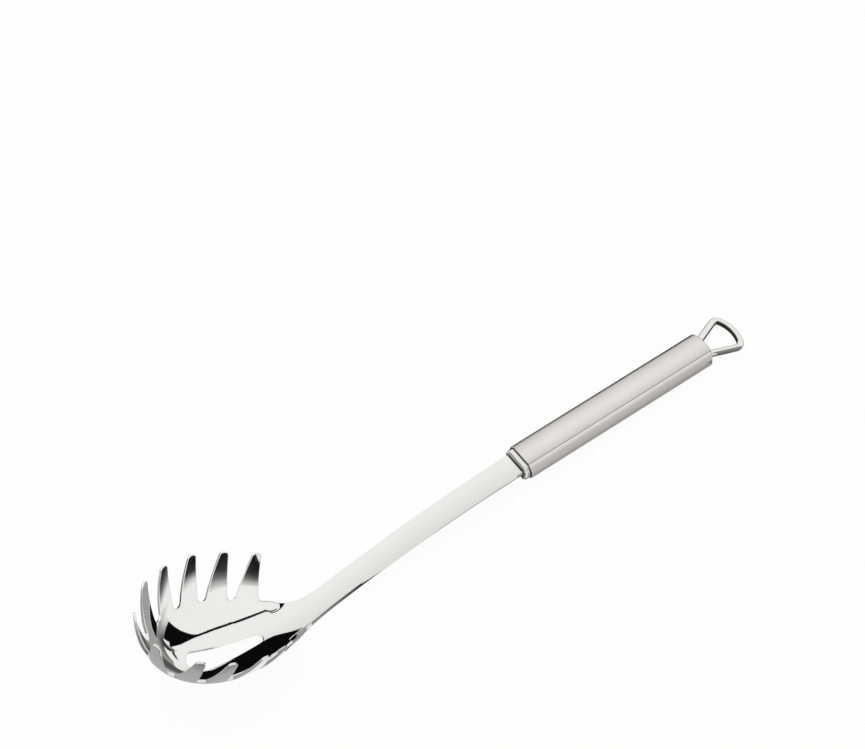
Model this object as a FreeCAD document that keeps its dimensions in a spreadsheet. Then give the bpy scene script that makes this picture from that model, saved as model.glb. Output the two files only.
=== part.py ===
"""Pasta server: a pressed toothed bowl on a bowed shank, a hollow handle and a wire hanging loop.

The pieces are drawn in the handle's frame: the origin is on the middle of the handle's front top edge,
+X runs to the rear, +Z is up and the piece is symmetric about Y = 0. At the end one placement sets the
whole server down on its neck and on the handle's rear edge.
"""

import FreeCAD, Part
import math
import os

import Sketcher

Vector = FreeCAD.Vector

# Driving sizes in millimetres and degrees
SIZES = {
    "handle_length": 115.2,
    "handle_top_width": 12.6,
    "handle_bulge": 2.85,
    "handle_depth": 11.7,
    "handle_wall": 1.0,
    "handle_end_radius": 17.0,
    "collar_length": 2.95,
    "collar_step_height": 0.6,
    "collar_round": 1.5,
    "collar_spigot": 8.0,
    "plug_length": 9.0,
    "fit_clearance": 0.1,
    "wire_diameter": 3.8,
    "loop_reach": 20.4,
    "loop_leg_gap": 2.4,
    "loop_leg_insert": 3.0,
    "loop_splay_angle": 22.3,
    "loop_bar_radius": 20.0,
    "loop_corner_radius": 3.2,
    "bowl_thickness": 2.4,
    "shank_thickness": 3.2,
    "tang_length": 16.0,
    "shank_drop": 3.1,
    "shank_waist_width": 11.8,
    "shank_bow_radius": 532.0,
    "shank_bow_angle": 12.2,
    "neck_radius": 104.0,
    "neck_half_span": 20.5,
    "neck_blend_length": 55.0,
    "flare_radius": 70.0,
    "bowl_tilt_angle": 27.3,
    "bowl_front_reach": 51.5,
    "bowl_half_span": 35.7,
    "bowl_curve_depth": 68.4,
    "bowl_depth": 38.6,
    "dish_fade_start": 38.0,
    "dish_fade_length": 21.0,
    "tooth_gap_depth": 23.8,
    "tooth_gap_radius": 2.4,
    "tooth_tip_radius": 2.3,
    "slot_front_radius": 6.1,
    "slot_rear_radius": 2.7,
    "slot_front_place": 3.3,
    "slot_rear_place": 29.3,
    "overrun": 6.0,
}

# Tooth tips of one side, from the neck to the front: behind the bowl's middle as shares of the dished
# length, before it as shares of the rim's reach. The first share only shapes the shoulder at the neck.
SHOULDER_SHARE = 1.18
REAR_TIP_SHARES = (0.855, 0.458, 0.037)
FRONT_TIP_SHARES = (0.337, 0.641, 0.955)

# The front wall stands steeper than a plain curve: its reach is drawn in towards the rim by a share of the
# depth, and kept at one depth
FRONT_STEEP_SHARE = 0.112
FRONT_KEPT_DEPTH_SHARE = 0.68

# Rows of the sheet's surface, lengthwise and across, and how far it runs past its trimmed edges
TANG_ROWS = 3
SHANK_ROWS = 10
NECK_ROWS = 18
BOWL_ROWS = 12
HALF_COLUMNS = 7
SHEET_EDGE_ANGLE = 72.0

doc = FreeCAD.newDocument("pasta_server")
sheet = doc.addObject("Spreadsheet::Sheet", "sizes")
for row, (alias, value) in enumerate(SIZES.items(), start=1):
    sheet.set(f"A{row}", alias)
    sheet.set(f"B{row}", str(value))
    sheet.setAlias(f"B{row}", alias)
doc.recompute()


def size(alias):
    """One driving size, read from the sheet."""
    return float(sheet.get(alias))


# Handle section: flat top and bottom joined by two bulged sides, and the same section drawn inwards
SIDE_RADIUS = "((sizes.handle_depth / 2) ^ 2 + sizes.handle_bulge ^ 2) / (2 * sizes.handle_bulge)"
SIDE_CENTRE = f"(sizes.handle_top_width / 2 + sizes.handle_bulge - {SIDE_RADIUS})"


def section_rules(inset):
    """Expressions for the section drawn inwards by an expression: half flat, top, bottom, side radius."""
    radius = f"({SIDE_RADIUS} - ({inset}))"
    half_depth = f"(sizes.handle_depth / 2 - ({inset}))"
    half_flat = f"({SIDE_CENTRE} + sqrt({radius} ^ 2 - {half_depth} ^ 2))"
    return {"half_flat": half_flat, "top": f"({inset})", "depth": f"2 * {half_depth}", "radius": radius}


def section_values(inset):
    """The same four sizes as numbers, for the first drawing of a sketch."""
    half_width = size("handle_top_width") / 2
    bulge = size("handle_bulge")
    half_depth = size("handle_depth") / 2
    full_radius = (half_depth ** 2 + bulge ** 2) / (2 * bulge)
    centre = half_width + bulge - full_radius
    radius = full_radius - inset
    half_flat = centre + math.sqrt(radius ** 2 - (half_depth - inset) ** 2)
    return half_flat, half_depth - inset, radius, centre


def origin_plane(body, role):
    """An origin plane of a body, by its role."""
    return next(plane for plane in body.Origin.OriginFeatures if plane.Role == role)


def new_sketch(body, name, role):
    """An empty sketch on one of a body's origin planes."""
    sketch = body.newObject("Sketcher::SketchObject", name)
    sketch.AttachmentSupport = [(origin_plane(body, role), "")]
    sketch.MapMode = "FlatFace"
    return sketch


def bind(sketch, kind, *where, value, rule):
    """Add one driving dimension to a sketch and tie it to the sheet."""
    index = sketch.addConstraint(Sketcher.Constraint(kind, *where, value))
    sketch.setExpression(f"Constraints[{index}]", rule)


def draw_section(sketch, inset, rule):
    """Draw the handle's section, moved inwards by an inset, in a sketch that looks along X."""
    half_flat, half_depth, radius, centre = section_values(inset)
    middle = -size("handle_depth") / 2
    swing = math.asin(half_depth / radius)
    top = sketch.addGeometry(Part.LineSegment(
        Vector(-half_flat, middle + half_depth, 0), Vector(half_flat, middle + half_depth, 0)))
    low = sketch.addGeometry(Part.LineSegment(
        Vector(half_flat, middle - half_depth, 0), Vector(-half_flat, middle - half_depth, 0)))
    right = sketch.addGeometry(Part.ArcOfCircle(
        Part.Circle(Vector(centre, middle, 0), Vector(0, 0, 1), radius), -swing, swing))
    left = sketch.addGeometry(Part.ArcOfCircle(
        Part.Circle(Vector(-centre, middle, 0), Vector(0, 0, 1), radius), math.pi - swing, math.pi + swing))
    for first, first_end, second, second_end in (
            (top, 2, right, 2), (right, 1, low, 1), (low, 2, left, 2), (left, 1, top, 1)):
        sketch.addConstraint(Sketcher.Constraint("Coincident", first, first_end, second, second_end))
    sketch.addConstraint(Sketcher.Constraint("Symmetric", top, 1, top, 2, -2))
    sketch.addConstraint(Sketcher.Constraint("Symmetric", low, 1, low, 2, -2))
    sketch.addConstraint(Sketcher.Constraint("Equal", top, low))
    sketch.addConstraint(Sketcher.Constraint("Equal", right, left))
    rules = section_rules(rule)
    bind(sketch, "DistanceX", -1, 1, top, 2, value=half_flat, rule=rules["half_flat"])
    bind(sketch, "DistanceY", low, 1, top, 2, value=2 * half_depth, rule=rules["depth"])
    bind(sketch, "Radius", right, value=radius, rule=rules["radius"])
    if inset > 0:
        bind(sketch, "DistanceY", top, 2, -1, 1, value=inset, rule=rules["top"])
    else:
        sketch.addConstraint(Sketcher.Constraint("PointOnObject", top, 2, -1))


def pad(body, sketch, name, rule):
    """Pad a sketch by a length from the sheet."""
    feature = body.newObject("PartDesign::Pad", name)
    feature.Profile = sketch
    feature.setExpression("Length", rule)
    return feature


def round_rear(body, name):
    """Cut a body's rear end to the handle's convex end line."""
    radius = size("handle_end_radius")
    length = size("handle_length")
    half = size("handle_top_width") / 2 + size("handle_bulge") + size("overrun") / 2
    sketch = new_sketch(body, f"{name}_line", "XY_Plane")
    swing = math.asin(half / radius)
    rear = length + size("overrun")
    arc = sketch.addGeometry(Part.ArcOfCircle(
        Part.Circle(Vector(length - radius, 0, 0), Vector(0, 0, 1), radius), -swing, swing))
    low, high = arc_ends(sketch, arc)
    near = sketch.addGeometry(Part.LineSegment(low, Vector(rear, low.y, 0)))
    back = sketch.addGeometry(Part.LineSegment(Vector(rear, low.y, 0), Vector(rear, high.y, 0)))
    far = sketch.addGeometry(Part.LineSegment(Vector(rear, high.y, 0), high))
    for first, first_end, second, second_end in (
            (arc, 1, near, 1), (near, 2, back, 1), (back, 2, far, 1), (far, 2, arc, 2)):
        sketch.addConstraint(Sketcher.Constraint("Coincident", first, first_end, second, second_end))
    sketch.addConstraint(Sketcher.Constraint("Horizontal", near))
    sketch.addConstraint(Sketcher.Constraint("Horizontal", far))
    sketch.addConstraint(Sketcher.Constraint("Symmetric", back, 1, back, 2, -1))
    sketch.addConstraint(Sketcher.Constraint("PointOnObject", arc, 3, -1))
    bind(sketch, "Radius", arc, value=radius, rule="sizes.handle_end_radius")
    bind(sketch, "DistanceX", -1, 1, arc, 3, value=length - radius,
         rule="sizes.handle_length - sizes.handle_end_radius")
    bind(sketch, "DistanceX", -1, 1, back, 1, value=rear, rule="sizes.handle_length + sizes.overrun")
    bind(sketch, "DistanceY", back, 1, back, 2, value=2 * half,
         rule="sizes.handle_top_width + 2 * sizes.handle_bulge + sizes.overrun")
    cut = body.newObject("PartDesign::Pocket", name)
    cut.Profile = sketch
    cut.Type = "ThroughAll"
    cut.Midplane = True
    return cut


def arc_ends(sketch, index):
    """Start and end point of an arc in a sketch."""
    arc = sketch.Geometry[index]
    return arc.StartPoint, arc.EndPoint


# Handle tube
tube = doc.addObject("PartDesign::Body", "handle_tube")
tube_section = new_sketch(tube, "tube_section", "YZ_Plane")
draw_section(tube_section, 0, "0")
draw_section(tube_section, size("handle_wall"), "sizes.handle_wall")
pad(tube, tube_section, "tube_length", "sizes.handle_length")
doc.recompute()
tube_blank_volume = tube.Shape.Volume
round_rear(tube, "tube_rear_end")
doc.recompute()

# Front collar: a rounded ferrule with a spigot in the tube and a slot for the tang
collar = doc.addObject("PartDesign::Body", "front_collar")
collar_section = new_sketch(collar, "collar_section", "YZ_Plane")
collar_section.setExpression("AttachmentOffset.Base.z", "-sizes.collar_length")
draw_section(collar_section, size("collar_step_height"), "sizes.collar_step_height")
collar_pad = pad(collar, collar_section, "collar_ring", "sizes.collar_length")
doc.recompute()
front_edges = []
for number, edge in enumerate(collar_pad.Shape.Edges, start=1):
    if edge.BoundBox.XMax < -size("collar_length") / 2:
        front_edges.append(f"Edge{number}")
collar_round = collar.newObject("PartDesign::Fillet", "collar_round")
collar_round.Base = (collar_pad, front_edges)
collar_round.setExpression("Radius", "sizes.collar_round")
doc.recompute()
spigot_inset = size("handle_wall") + size("fit_clearance")
spigot_section = new_sketch(collar, "spigot_section", "YZ_Plane")
draw_section(spigot_section, spigot_inset, "sizes.handle_wall + sizes.fit_clearance")
pad(collar, spigot_section, "collar_spigot", "sizes.collar_spigot")
doc.recompute()
collar_blank_volume = collar.Shape.Volume
slot_half = size("handle_top_width") / 2 + size("fit_clearance")
slot_top = -size("shank_drop") + size("fit_clearance")
slot_low = -size("shank_drop") - size("shank_thickness") - size("fit_clearance")
tang_slot = new_sketch(collar, "tang_slot", "YZ_Plane")
corners = [Vector(-slot_half, slot_low, 0), Vector(slot_half, slot_low, 0),
           Vector(slot_half, slot_top, 0), Vector(-slot_half, slot_top, 0)]
for index in range(len(corners)):
    tang_slot.addGeometry(Part.LineSegment(corners[index], corners[(index + 1) % len(corners)]))
for index in range(len(corners)):
    tang_slot.addConstraint(Sketcher.Constraint("Coincident", index, 2, (index + 1) % len(corners), 1))
tang_slot.addConstraint(Sketcher.Constraint("Horizontal", 0))
tang_slot.addConstraint(Sketcher.Constraint("Vertical", 3))
tang_slot.addConstraint(Sketcher.Constraint("Vertical", 1))
tang_slot.addConstraint(Sketcher.Constraint("Symmetric", 2, 1, 2, 2, -2))
bind(tang_slot, "DistanceX", 0, 1, 0, 2, value=2 * slot_half,
     rule="sizes.handle_top_width + 2 * sizes.fit_clearance")
bind(tang_slot, "DistanceY", 1, 1, 1, 2, value=slot_top - slot_low,
     rule="sizes.shank_thickness + 2 * sizes.fit_clearance")
bind(tang_slot, "DistanceY", 1, 2, -1, 1, value=-slot_top, rule="sizes.shank_drop - sizes.fit_clearance")
tang_cut = collar.newObject("PartDesign::Pocket", "tang_cut")
tang_cut.Profile = tang_slot
tang_cut.Type = "ThroughAll"
tang_cut.Midplane = True
doc.recompute()

# Where the loop's legs leave the rear end: one on each side, splayed outwards at half the handle's depth
LEG_SIDE = "(sizes.wire_diameter + sizes.loop_leg_gap) / 2"
LEG_LEVEL = "-sizes.handle_depth / 2"
LEG_FOOT = "(sizes.handle_length - sizes.loop_leg_insert)"
leg_side = (size("wire_diameter") + size("loop_leg_gap")) / 2
leg_level = -size("handle_depth") / 2
leg_foot = size("handle_length") - size("loop_leg_insert")


def leg_sketch(body, name, side, diameter, rule):
    """A circle square to one leg, at the leg's inner end."""
    sketch = new_sketch(body, name, "YZ_Plane")
    sketch.AttachmentOffset = FreeCAD.Placement(
        Vector(side * leg_side, leg_level, leg_foot), FreeCAD.Rotation(Vector(0, 1, 0), side * size("loop_splay_angle")))
    sketch.setExpression("AttachmentOffset.Base.x", f"{side} * {LEG_SIDE}")
    sketch.setExpression("AttachmentOffset.Base.y", LEG_LEVEL)
    sketch.setExpression("AttachmentOffset.Base.z", LEG_FOOT)
    sketch.setExpression("AttachmentOffset.Rotation.Angle", f"{side} * sizes.loop_splay_angle")
    circle = sketch.addGeometry(Part.Circle(Vector(0, 0, 0), Vector(0, 0, 1), diameter / 2))
    sketch.addConstraint(Sketcher.Constraint("Coincident", circle, 3, -1, 1))
    bind(sketch, "Diameter", circle, value=diameter, rule=rule)
    return sketch


# Rear plug with two splayed blind holes
plug = doc.addObject("PartDesign::Body", "rear_plug")
plug_section = new_sketch(plug, "plug_section", "YZ_Plane")
plug_section.setExpression("AttachmentOffset.Base.z", "sizes.handle_length - sizes.plug_length")
draw_section(plug_section, spigot_inset, "sizes.handle_wall + sizes.fit_clearance")
pad(plug, plug_section, "plug_block", "sizes.plug_length")
doc.recompute()
plug_blank_volume = plug.Shape.Volume
round_rear(plug, "plug_rear_end")
doc.recompute()
plug_round_volume = plug.Shape.Volume
for side, name in ((1, "far_leg_hole"), (-1, "near_leg_hole")):
    circle_sketch = leg_sketch(plug, f"{name}_circle", side, size("wire_diameter") + 2 * size("fit_clearance"),
                               "sizes.wire_diameter + 2 * sizes.fit_clearance")
    hole = plug.newObject("PartDesign::Pocket", name)
    hole.Profile = circle_sketch
    hole.Type = "Length"
    hole.Reversed = True
    hole.setExpression("Length", "sizes.loop_leg_insert + sizes.overrun")
    doc.recompute()

# Hanging loop: a round wire swept along two splayed legs, two corners and a bowed end bar
loop = doc.addObject("PartDesign::Body", "hanging_loop")
route = new_sketch(loop, "loop_route", "XY_Plane")
route.setExpression("AttachmentOffset.Base.z", LEG_LEVEL)
splay = math.radians(size("loop_splay_angle"))
bar_radius = size("loop_bar_radius")
corner_radius = size("loop_corner_radius")
bar_centre = size("handle_length") + size("loop_reach") - bar_radius
leg_line = Vector(math.cos(splay), math.sin(splay), 0)
leg_normal = Vector(math.sin(splay), -math.cos(splay), 0)
leg_start = Vector(leg_foot, leg_side, 0)
inner_start = leg_start + leg_normal * corner_radius - Vector(bar_centre, 0, 0)
along = inner_start.dot(leg_line)
run = -along + math.sqrt(along ** 2 - inner_start.Length ** 2 + (bar_radius - corner_radius) ** 2)
corner_centre = Vector(bar_centre, 0, 0) + inner_start + leg_line * run
leg_end = leg_start + leg_line * run
bar_angle = math.atan2(corner_centre.y, corner_centre.x - bar_centre)
upright = Vector(0, 0, 1)
legs = []
for side in (1, -1):
    legs.append(route.addGeometry(Part.LineSegment(
        Vector(leg_start.x, side * leg_start.y, 0), Vector(leg_end.x, side * leg_end.y, 0))))
corner_arcs = [
    route.addGeometry(Part.ArcOfCircle(
        Part.Circle(corner_centre, upright, corner_radius), bar_angle, math.pi / 2 + splay)),
    route.addGeometry(Part.ArcOfCircle(
        Part.Circle(Vector(corner_centre.x, -corner_centre.y, 0), upright, corner_radius),
        -math.pi / 2 - splay, -bar_angle)),
]
bar = route.addGeometry(Part.ArcOfCircle(
    Part.Circle(Vector(bar_centre, 0, 0), upright, bar_radius), -bar_angle, bar_angle))
for first, first_end, second, second_end in (
        (legs[0], 2, corner_arcs[0], 2), (corner_arcs[0], 1, bar, 2),
        (bar, 1, corner_arcs[1], 2), (corner_arcs[1], 1, legs[1], 2)):
    route.addConstraint(Sketcher.Constraint("Tangent", first, first_end, second, second_end))
route.addConstraint(Sketcher.Constraint("Symmetric", legs[0], 1, legs[1], 1, -1))
route.addConstraint(Sketcher.Constraint("Equal", corner_arcs[0], corner_arcs[1]))
route.addConstraint(Sketcher.Constraint("PointOnObject", bar, 3, -1))
bind(route, "Radius", bar, value=bar_radius, rule="sizes.loop_bar_radius")
bind(route, "Radius", corner_arcs[0], value=corner_radius, rule="sizes.loop_corner_radius")
bind(route, "DistanceX", -1, 1, bar, 3, value=bar_centre,
     rule="sizes.handle_length + sizes.loop_reach - sizes.loop_bar_radius")
bind(route, "DistanceX", -1, 1, legs[0], 1, value=leg_foot, rule=LEG_FOOT)
bind(route, "DistanceY", legs[1], 1, legs[0], 1, value=2 * leg_side, rule=f"2 * {LEG_SIDE}")
bind(route, "Angle", legs[0], value=splay, rule="sizes.loop_splay_angle")
wire_section = leg_sketch(loop, "wire_section", 1, size("wire_diameter"), "sizes.wire_diameter")
doc.recompute()
wire = loop.newObject("PartDesign::AdditivePipe", "loop_wire")
wire.Profile = wire_section
wire.Spine = (route, [f"Edge{number}" for number in range(1, len(route.Shape.Edges) + 1)])
doc.recompute()

# Middle line of the head, seen from the side: straight tang, bowed shank, upward neck, bowl bottom.
# The bowl's own frame has its origin in the middle of its curve, with +s forward and +w along its axis.
tilt = math.radians(size("bowl_tilt_angle"))
bow_turn = math.radians(size("shank_bow_angle"))
bow_radius = size("shank_bow_radius")
neck_radius = size("neck_radius")
front_reach = size("bowl_front_reach")
half_span = size("bowl_half_span")
curve_depth = size("bowl_curve_depth")
rim_level = size("bowl_depth") - curve_depth
bowl_thickness = size("bowl_thickness")
shank_thickness = size("shank_thickness")
overrun = size("overrun")
neck_centre = Vector(-(bow_radius + neck_radius) * math.sin(bow_turn), 0,
                     -size("shank_drop") - bow_radius + (bow_radius + neck_radius) * math.cos(bow_turn))
forward = Vector(-math.cos(tilt), 0, math.sin(tilt))
upward = Vector(math.sin(tilt), 0, math.cos(tilt))
sideways = Vector(0, 1, 0)
bowl_middle = neck_centre + upward * (curve_depth - neck_radius)
root = Vector(0, 0, -size("shank_drop"))
root_station = (root - bowl_middle).dot(forward)
root_level = (root - bowl_middle).dot(upward)
neck_station = -neck_radius * math.sin(tilt + bow_turn)
tang_station = root_station - size("tang_length") * math.cos(tilt)


def bowl_point(station, across, level):
    """A point of the bowl's frame in the handle's frame."""
    return bowl_middle + forward * station + sideways * across + upward * level


def ease(share):
    """A smooth step from 0 to 1."""
    share = min(max(share, 0.0), 1.0)
    return share * share * (3 - 2 * share)


def floor_level(station):
    """Level of the sheet's upper face on the middle line, behind the bowl's middle."""
    if station > neck_station:
        return neck_radius - curve_depth - math.sqrt(neck_radius ** 2 - station ** 2)
    if station > root_station:
        bow = bow_radius + neck_radius
        bow_station = -bow * math.sin(tilt + bow_turn)
        bow_level = neck_radius - curve_depth - bow * math.cos(tilt + bow_turn)
        return bow_level + math.sqrt(bow_radius ** 2 - (station - bow_station) ** 2)
    return root_level + (root_station - station) * math.tan(tilt)


def section_span(station):
    """Half span of the dished section, which draws in from the bowl to the neck."""
    neck_span = size("neck_half_span")
    return half_span - (half_span - neck_span) * ease(-station / size("neck_blend_length"))


def section_rise(station):
    """How far the section would rise at a quarter turn: the whole bowl at its middle, nothing on the shank."""
    fade = ease((-station - size("dish_fade_start")) / size("dish_fade_length"))
    return -floor_level(station) * (1 - fade)


def rear_point(station, roll):
    """A point of the upper face behind the bowl's middle."""
    level = floor_level(station) + section_rise(station) * (1 - math.cos(roll))
    return bowl_point(station, section_span(station) * math.sin(roll), level)


def reach_at(depth_share):
    """Reach of the bowl's front curve at a share of the curve's depth."""
    return front_reach * (1 + FRONT_STEEP_SHARE * (depth_share - FRONT_KEPT_DEPTH_SHARE))


def front_point(pitch, roll):
    """A point of the upper face before the bowl's middle, on the bowl's steepened ellipsoid."""
    depth_share = math.cos(pitch) * math.cos(roll)
    return bowl_point(reach_at(depth_share) * math.sin(pitch) * math.cos(roll), half_span * math.sin(roll),
                      -curve_depth * depth_share)


def thickness_at(surface, place):
    """Thickness of the sheet, which the press thins from the neck into the bowl."""
    if surface is front_point:
        return bowl_thickness
    return bowl_thickness + (shank_thickness - bowl_thickness) * ease(-place / size("dish_fade_start"))


def lower_point(surface, place, roll):
    """The point of the lower face square below a point of the upper face."""
    small_share = 1e-3
    small_run = small_share * bowl_thickness if surface is rear_point else small_share
    along_sheet = surface(place + small_run, roll) - surface(place - small_run, roll)
    across_sheet = surface(place, roll + small_share) - surface(place, roll - small_share)
    normal = along_sheet.cross(across_sheet).normalize()
    if normal.dot(upward) > 0:
        normal = -normal
    return surface(place, roll) + normal * thickness_at(surface, place)


def even_steps(first, last, count):
    """Values from first up to, but without, last, in even steps."""
    return [first + (last - first) * index / count for index in range(count)]


# Pressed sheet: upper and lower face through rows of sections, closed along the four edges
edge_angle = math.radians(SHEET_EDGE_ANGLE)
rolls = [edge_angle * index / HALF_COLUMNS for index in range(-HALF_COLUMNS, HALF_COLUMNS + 1)]
rear_places = even_steps(tang_station - overrun, root_station, TANG_ROWS)
rear_places += even_steps(root_station, neck_station, SHANK_ROWS)
rear_places += even_steps(neck_station, 0, NECK_ROWS)
front_places = even_steps(0, edge_angle, BOWL_ROWS) + [edge_angle]
rows = [(rear_point, place) for place in rear_places] + [(front_point, place) for place in front_places]
upper_face = Part.BSplineSurface()
upper_face.interpolate([[surface(place, roll) for roll in rolls] for surface, place in rows])
lower_face = Part.BSplineSurface()
lower_face.interpolate([[lower_point(surface, place, roll) for roll in rolls] for surface, place in rows])


def border(surface):
    """The four border curves of a surface as edges."""
    first_row, last_row, first_column, last_column = surface.bounds()
    curves = (surface.uIso(first_row), surface.uIso(last_row),
              surface.vIso(first_column), surface.vIso(last_column))
    return [curve.toShape() for curve in curves]


sides = [Part.makeRuledSurface(upper, lower) for upper, lower in zip(border(upper_face), border(lower_face))]
skin = Part.Compound([upper_face.toShape(), lower_face.toShape()] + sides)
skin.sewShape()
pressed = doc.addObject("Part::Feature", "pressed_sheet")
pressed.Shape = Part.Solid(skin.Shells[0])

# Blank outline, seen along the bowl's axis: tang and shank edges, a flare at the neck, open round the bowl
root_half = size("handle_top_width") / 2
waist_half = size("shank_waist_width") / 2
flare_radius = size("flare_radius")
dish_start = size("dish_fade_start")
flare_run = -neck_station - dish_start
flare_rise = flare_radius - math.sqrt(flare_radius ** 2 - flare_run ** 2)
flare_mid_share = 0.5
flare_mid_run = flare_run * flare_mid_share
flare_mid_rise = flare_radius - math.sqrt(flare_radius ** 2 - flare_mid_run ** 2)
wide = half_span + overrun
outline_level = -curve_depth - neck_radius
outline_height = 3 * (curve_depth + neck_radius)


def plan_point(station, across):
    """A point of the blank's outline, below the whole sheet."""
    return bowl_point(station, across, outline_level)


def flare_edges(side):
    """Outline edges of one side, from the tang's end to the bowl's front."""
    corner = plan_point(-dish_start, side * (waist_half + flare_rise))
    middle = plan_point(neck_station + flare_mid_run, side * (waist_half + flare_mid_rise))
    waist = plan_point(neck_station, side * waist_half)
    start = plan_point(root_station, side * root_half)
    end = plan_point(tang_station, side * root_half)
    opening = plan_point(-dish_start - overrun, side * wide)
    nose = plan_point(front_reach + overrun, side * wide)
    return [Part.LineSegment(end, start).toShape(), Part.LineSegment(start, waist).toShape(),
            Part.Arc(waist, middle, corner).toShape(), Part.LineSegment(corner, opening).toShape(),
            Part.LineSegment(opening, nose).toShape()]


outline = flare_edges(1) + flare_edges(-1)
outline.append(Part.LineSegment(plan_point(tang_station, root_half), plan_point(tang_station, -root_half)).toShape())
outline.append(Part.LineSegment(plan_point(front_reach + overrun, wide),
                                plan_point(front_reach + overrun, -wide)).toShape())
blank = doc.addObject("Part::Feature", "blank_outline")
blank.Shape = Part.Face(Part.Wire(Part.__sortEdges__(outline))).extrude(upward * outline_height)

# Teeth: gaps cut down from the rim plane, each square to the chord between two tips
gap_depth = size("tooth_gap_depth")
gap_radius = size("tooth_gap_radius")
tip_radius = size("tooth_tip_radius")
rim_share = -rim_level / curve_depth
rim_reach = reach_at(rim_share) * math.sqrt(1 - rim_share ** 2)


def rim_half(station):
    """Half width of the bowl at its rim."""
    if station < 0:
        return section_span(station) * math.sqrt(1 - (rim_level / floor_level(station)) ** 2)
    return half_span * math.sqrt(1 - rim_share ** 2 - (station / reach_at(rim_share)) ** 2)


def gap_tool(first, second, shoulder):
    """Cutter for the gap between two tips, or for the shoulder that ends the teeth at the neck."""
    chord = second - first
    half = chord.Length / 2
    chord = chord.normalize()
    outward = chord.cross(Vector(0, 0, 1))
    middle = (first + second) / 2
    if outward.dot(middle) < 0:
        outward = -outward
    start = middle - outward * (half_span / 2)

    def at(run, fall):
        spot = start + chord * run
        return bowl_point(spot.x, spot.y, rim_level - fall)

    tip = Vector(half, -tip_radius, 0)
    gullet = Vector(0, gap_radius - gap_depth, 0)
    reach = tip - gullet
    lean = math.atan2(reach.y, reach.x) - math.acos((gap_radius + tip_radius) / reach.Length)
    square = Vector(math.cos(lean), math.sin(lean), 0)
    foot = gullet + square * gap_radius
    crest = tip - square * tip_radius
    turn = (lean + math.pi / 2) / 2
    crest_mid = tip + Vector(-math.sin(turn), math.cos(turn), 0) * tip_radius
    right = [Part.LineSegment(at(half, -overrun), at(half, 0)).toShape(),
             Part.Arc(at(half, 0), at(crest_mid.x, -crest_mid.y), at(crest.x, -crest.y)).toShape(),
             Part.LineSegment(at(crest.x, -crest.y), at(foot.x, -foot.y)).toShape()]
    if shoulder:
        bend = (lean - math.pi / 2) / 2
        bend_mid = gullet + Vector(math.cos(bend), math.sin(bend), 0) * gap_radius
        back = -half - overrun
        edges = right + [
            Part.Arc(at(foot.x, -foot.y), at(bend_mid.x, -bend_mid.y), at(0, gap_depth)).toShape(),
            Part.LineSegment(at(0, gap_depth), at(back, gap_depth)).toShape(),
            Part.LineSegment(at(back, gap_depth), at(back, -overrun)).toShape(),
            Part.LineSegment(at(back, -overrun), at(half, -overrun)).toShape()]
    else:
        edges = right + [
            Part.Arc(at(foot.x, -foot.y), at(0, gap_depth), at(-foot.x, -foot.y)).toShape(),
            Part.LineSegment(at(-foot.x, -foot.y), at(-crest.x, -crest.y)).toShape(),
            Part.Arc(at(-crest.x, -crest.y), at(-crest_mid.x, -crest_mid.y), at(-half, 0)).toShape(),
            Part.LineSegment(at(-half, 0), at(-half, -overrun)).toShape(),
            Part.LineSegment(at(-half, -overrun), at(half, -overrun)).toShape()]
    throw = sideways * outward.y + forward * outward.x
    return Part.Face(Part.Wire(edges)).extrude(throw * (half_span + overrun))


tip_stations = [-share * dish_start for share in REAR_TIP_SHARES] + [share * rim_reach for share in FRONT_TIP_SHARES]
cutters = []
for side in (1, -1):
    tips = [Vector(station, side * rim_half(station), 0) for station in tip_stations]
    for first, second in zip(tips, tips[1:]):
        cutters.append(gap_tool(first, second, False))
    shoulder_station = -SHOULDER_SHARE * dish_start
    cutters.append(gap_tool(Vector(shoulder_station, side * rim_half(shoulder_station), 0), tips[0], True))
nose_tip = Vector(tip_stations[-1], rim_half(tip_stations[-1]), 0)
cutters.append(gap_tool(nose_tip, Vector(nose_tip.x, -nose_tip.y, 0), False))

# Everything above the rim plane
rim_box = Part.Face(Part.makePolygon([
    bowl_point(-dish_start - overrun, wide, rim_level), bowl_point(front_reach + overrun, wide, rim_level),
    bowl_point(front_reach + overrun, -wide, rim_level), bowl_point(-dish_start - overrun, -wide, rim_level),
    bowl_point(-dish_start - overrun, wide, rim_level)]))
cutters.append(rim_box.extrude(upward * curve_depth))

# Drain slot: two circles joined by their common tangents
slot_front = size("slot_front_place")
slot_rear = -size("slot_rear_place")
slot_big = size("slot_front_radius")
slot_small = size("slot_rear_radius")
slot_lean = math.asin((slot_big - slot_small) / (slot_front - slot_rear))


def slot_point(centre, radius, side):
    """Where a tangent of the slot meets one of its end circles."""
    return plan_point(centre - radius * math.sin(slot_lean), side * radius * math.cos(slot_lean))


slot_edges = [
    Part.LineSegment(slot_point(slot_rear, slot_small, 1), slot_point(slot_front, slot_big, 1)).toShape(),
    Part.Arc(slot_point(slot_front, slot_big, 1), plan_point(slot_front + slot_big, 0),
             slot_point(slot_front, slot_big, -1)).toShape(),
    Part.LineSegment(slot_point(slot_front, slot_big, -1), slot_point(slot_rear, slot_small, -1)).toShape(),
    Part.Arc(slot_point(slot_rear, slot_small, -1), plan_point(slot_rear - slot_small, 0),
             slot_point(slot_rear, slot_small, 1)).toShape(),
]
cutters.append(Part.Face(Part.Wire(slot_edges)).extrude(upward * (outline_height / 3 + curve_depth / 2)))
tools = doc.addObject("Part::Feature", "tooth_gaps_and_slot")
tools.Shape = Part.Compound(cutters)
trimmed = doc.addObject("Part::Common", "trimmed_sheet")
trimmed.Base = pressed
trimmed.Tool = blank
head = doc.addObject("Part::Cut", "server_head")
head.Base = trimmed
head.Tool = tools
doc.recompute()

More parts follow.
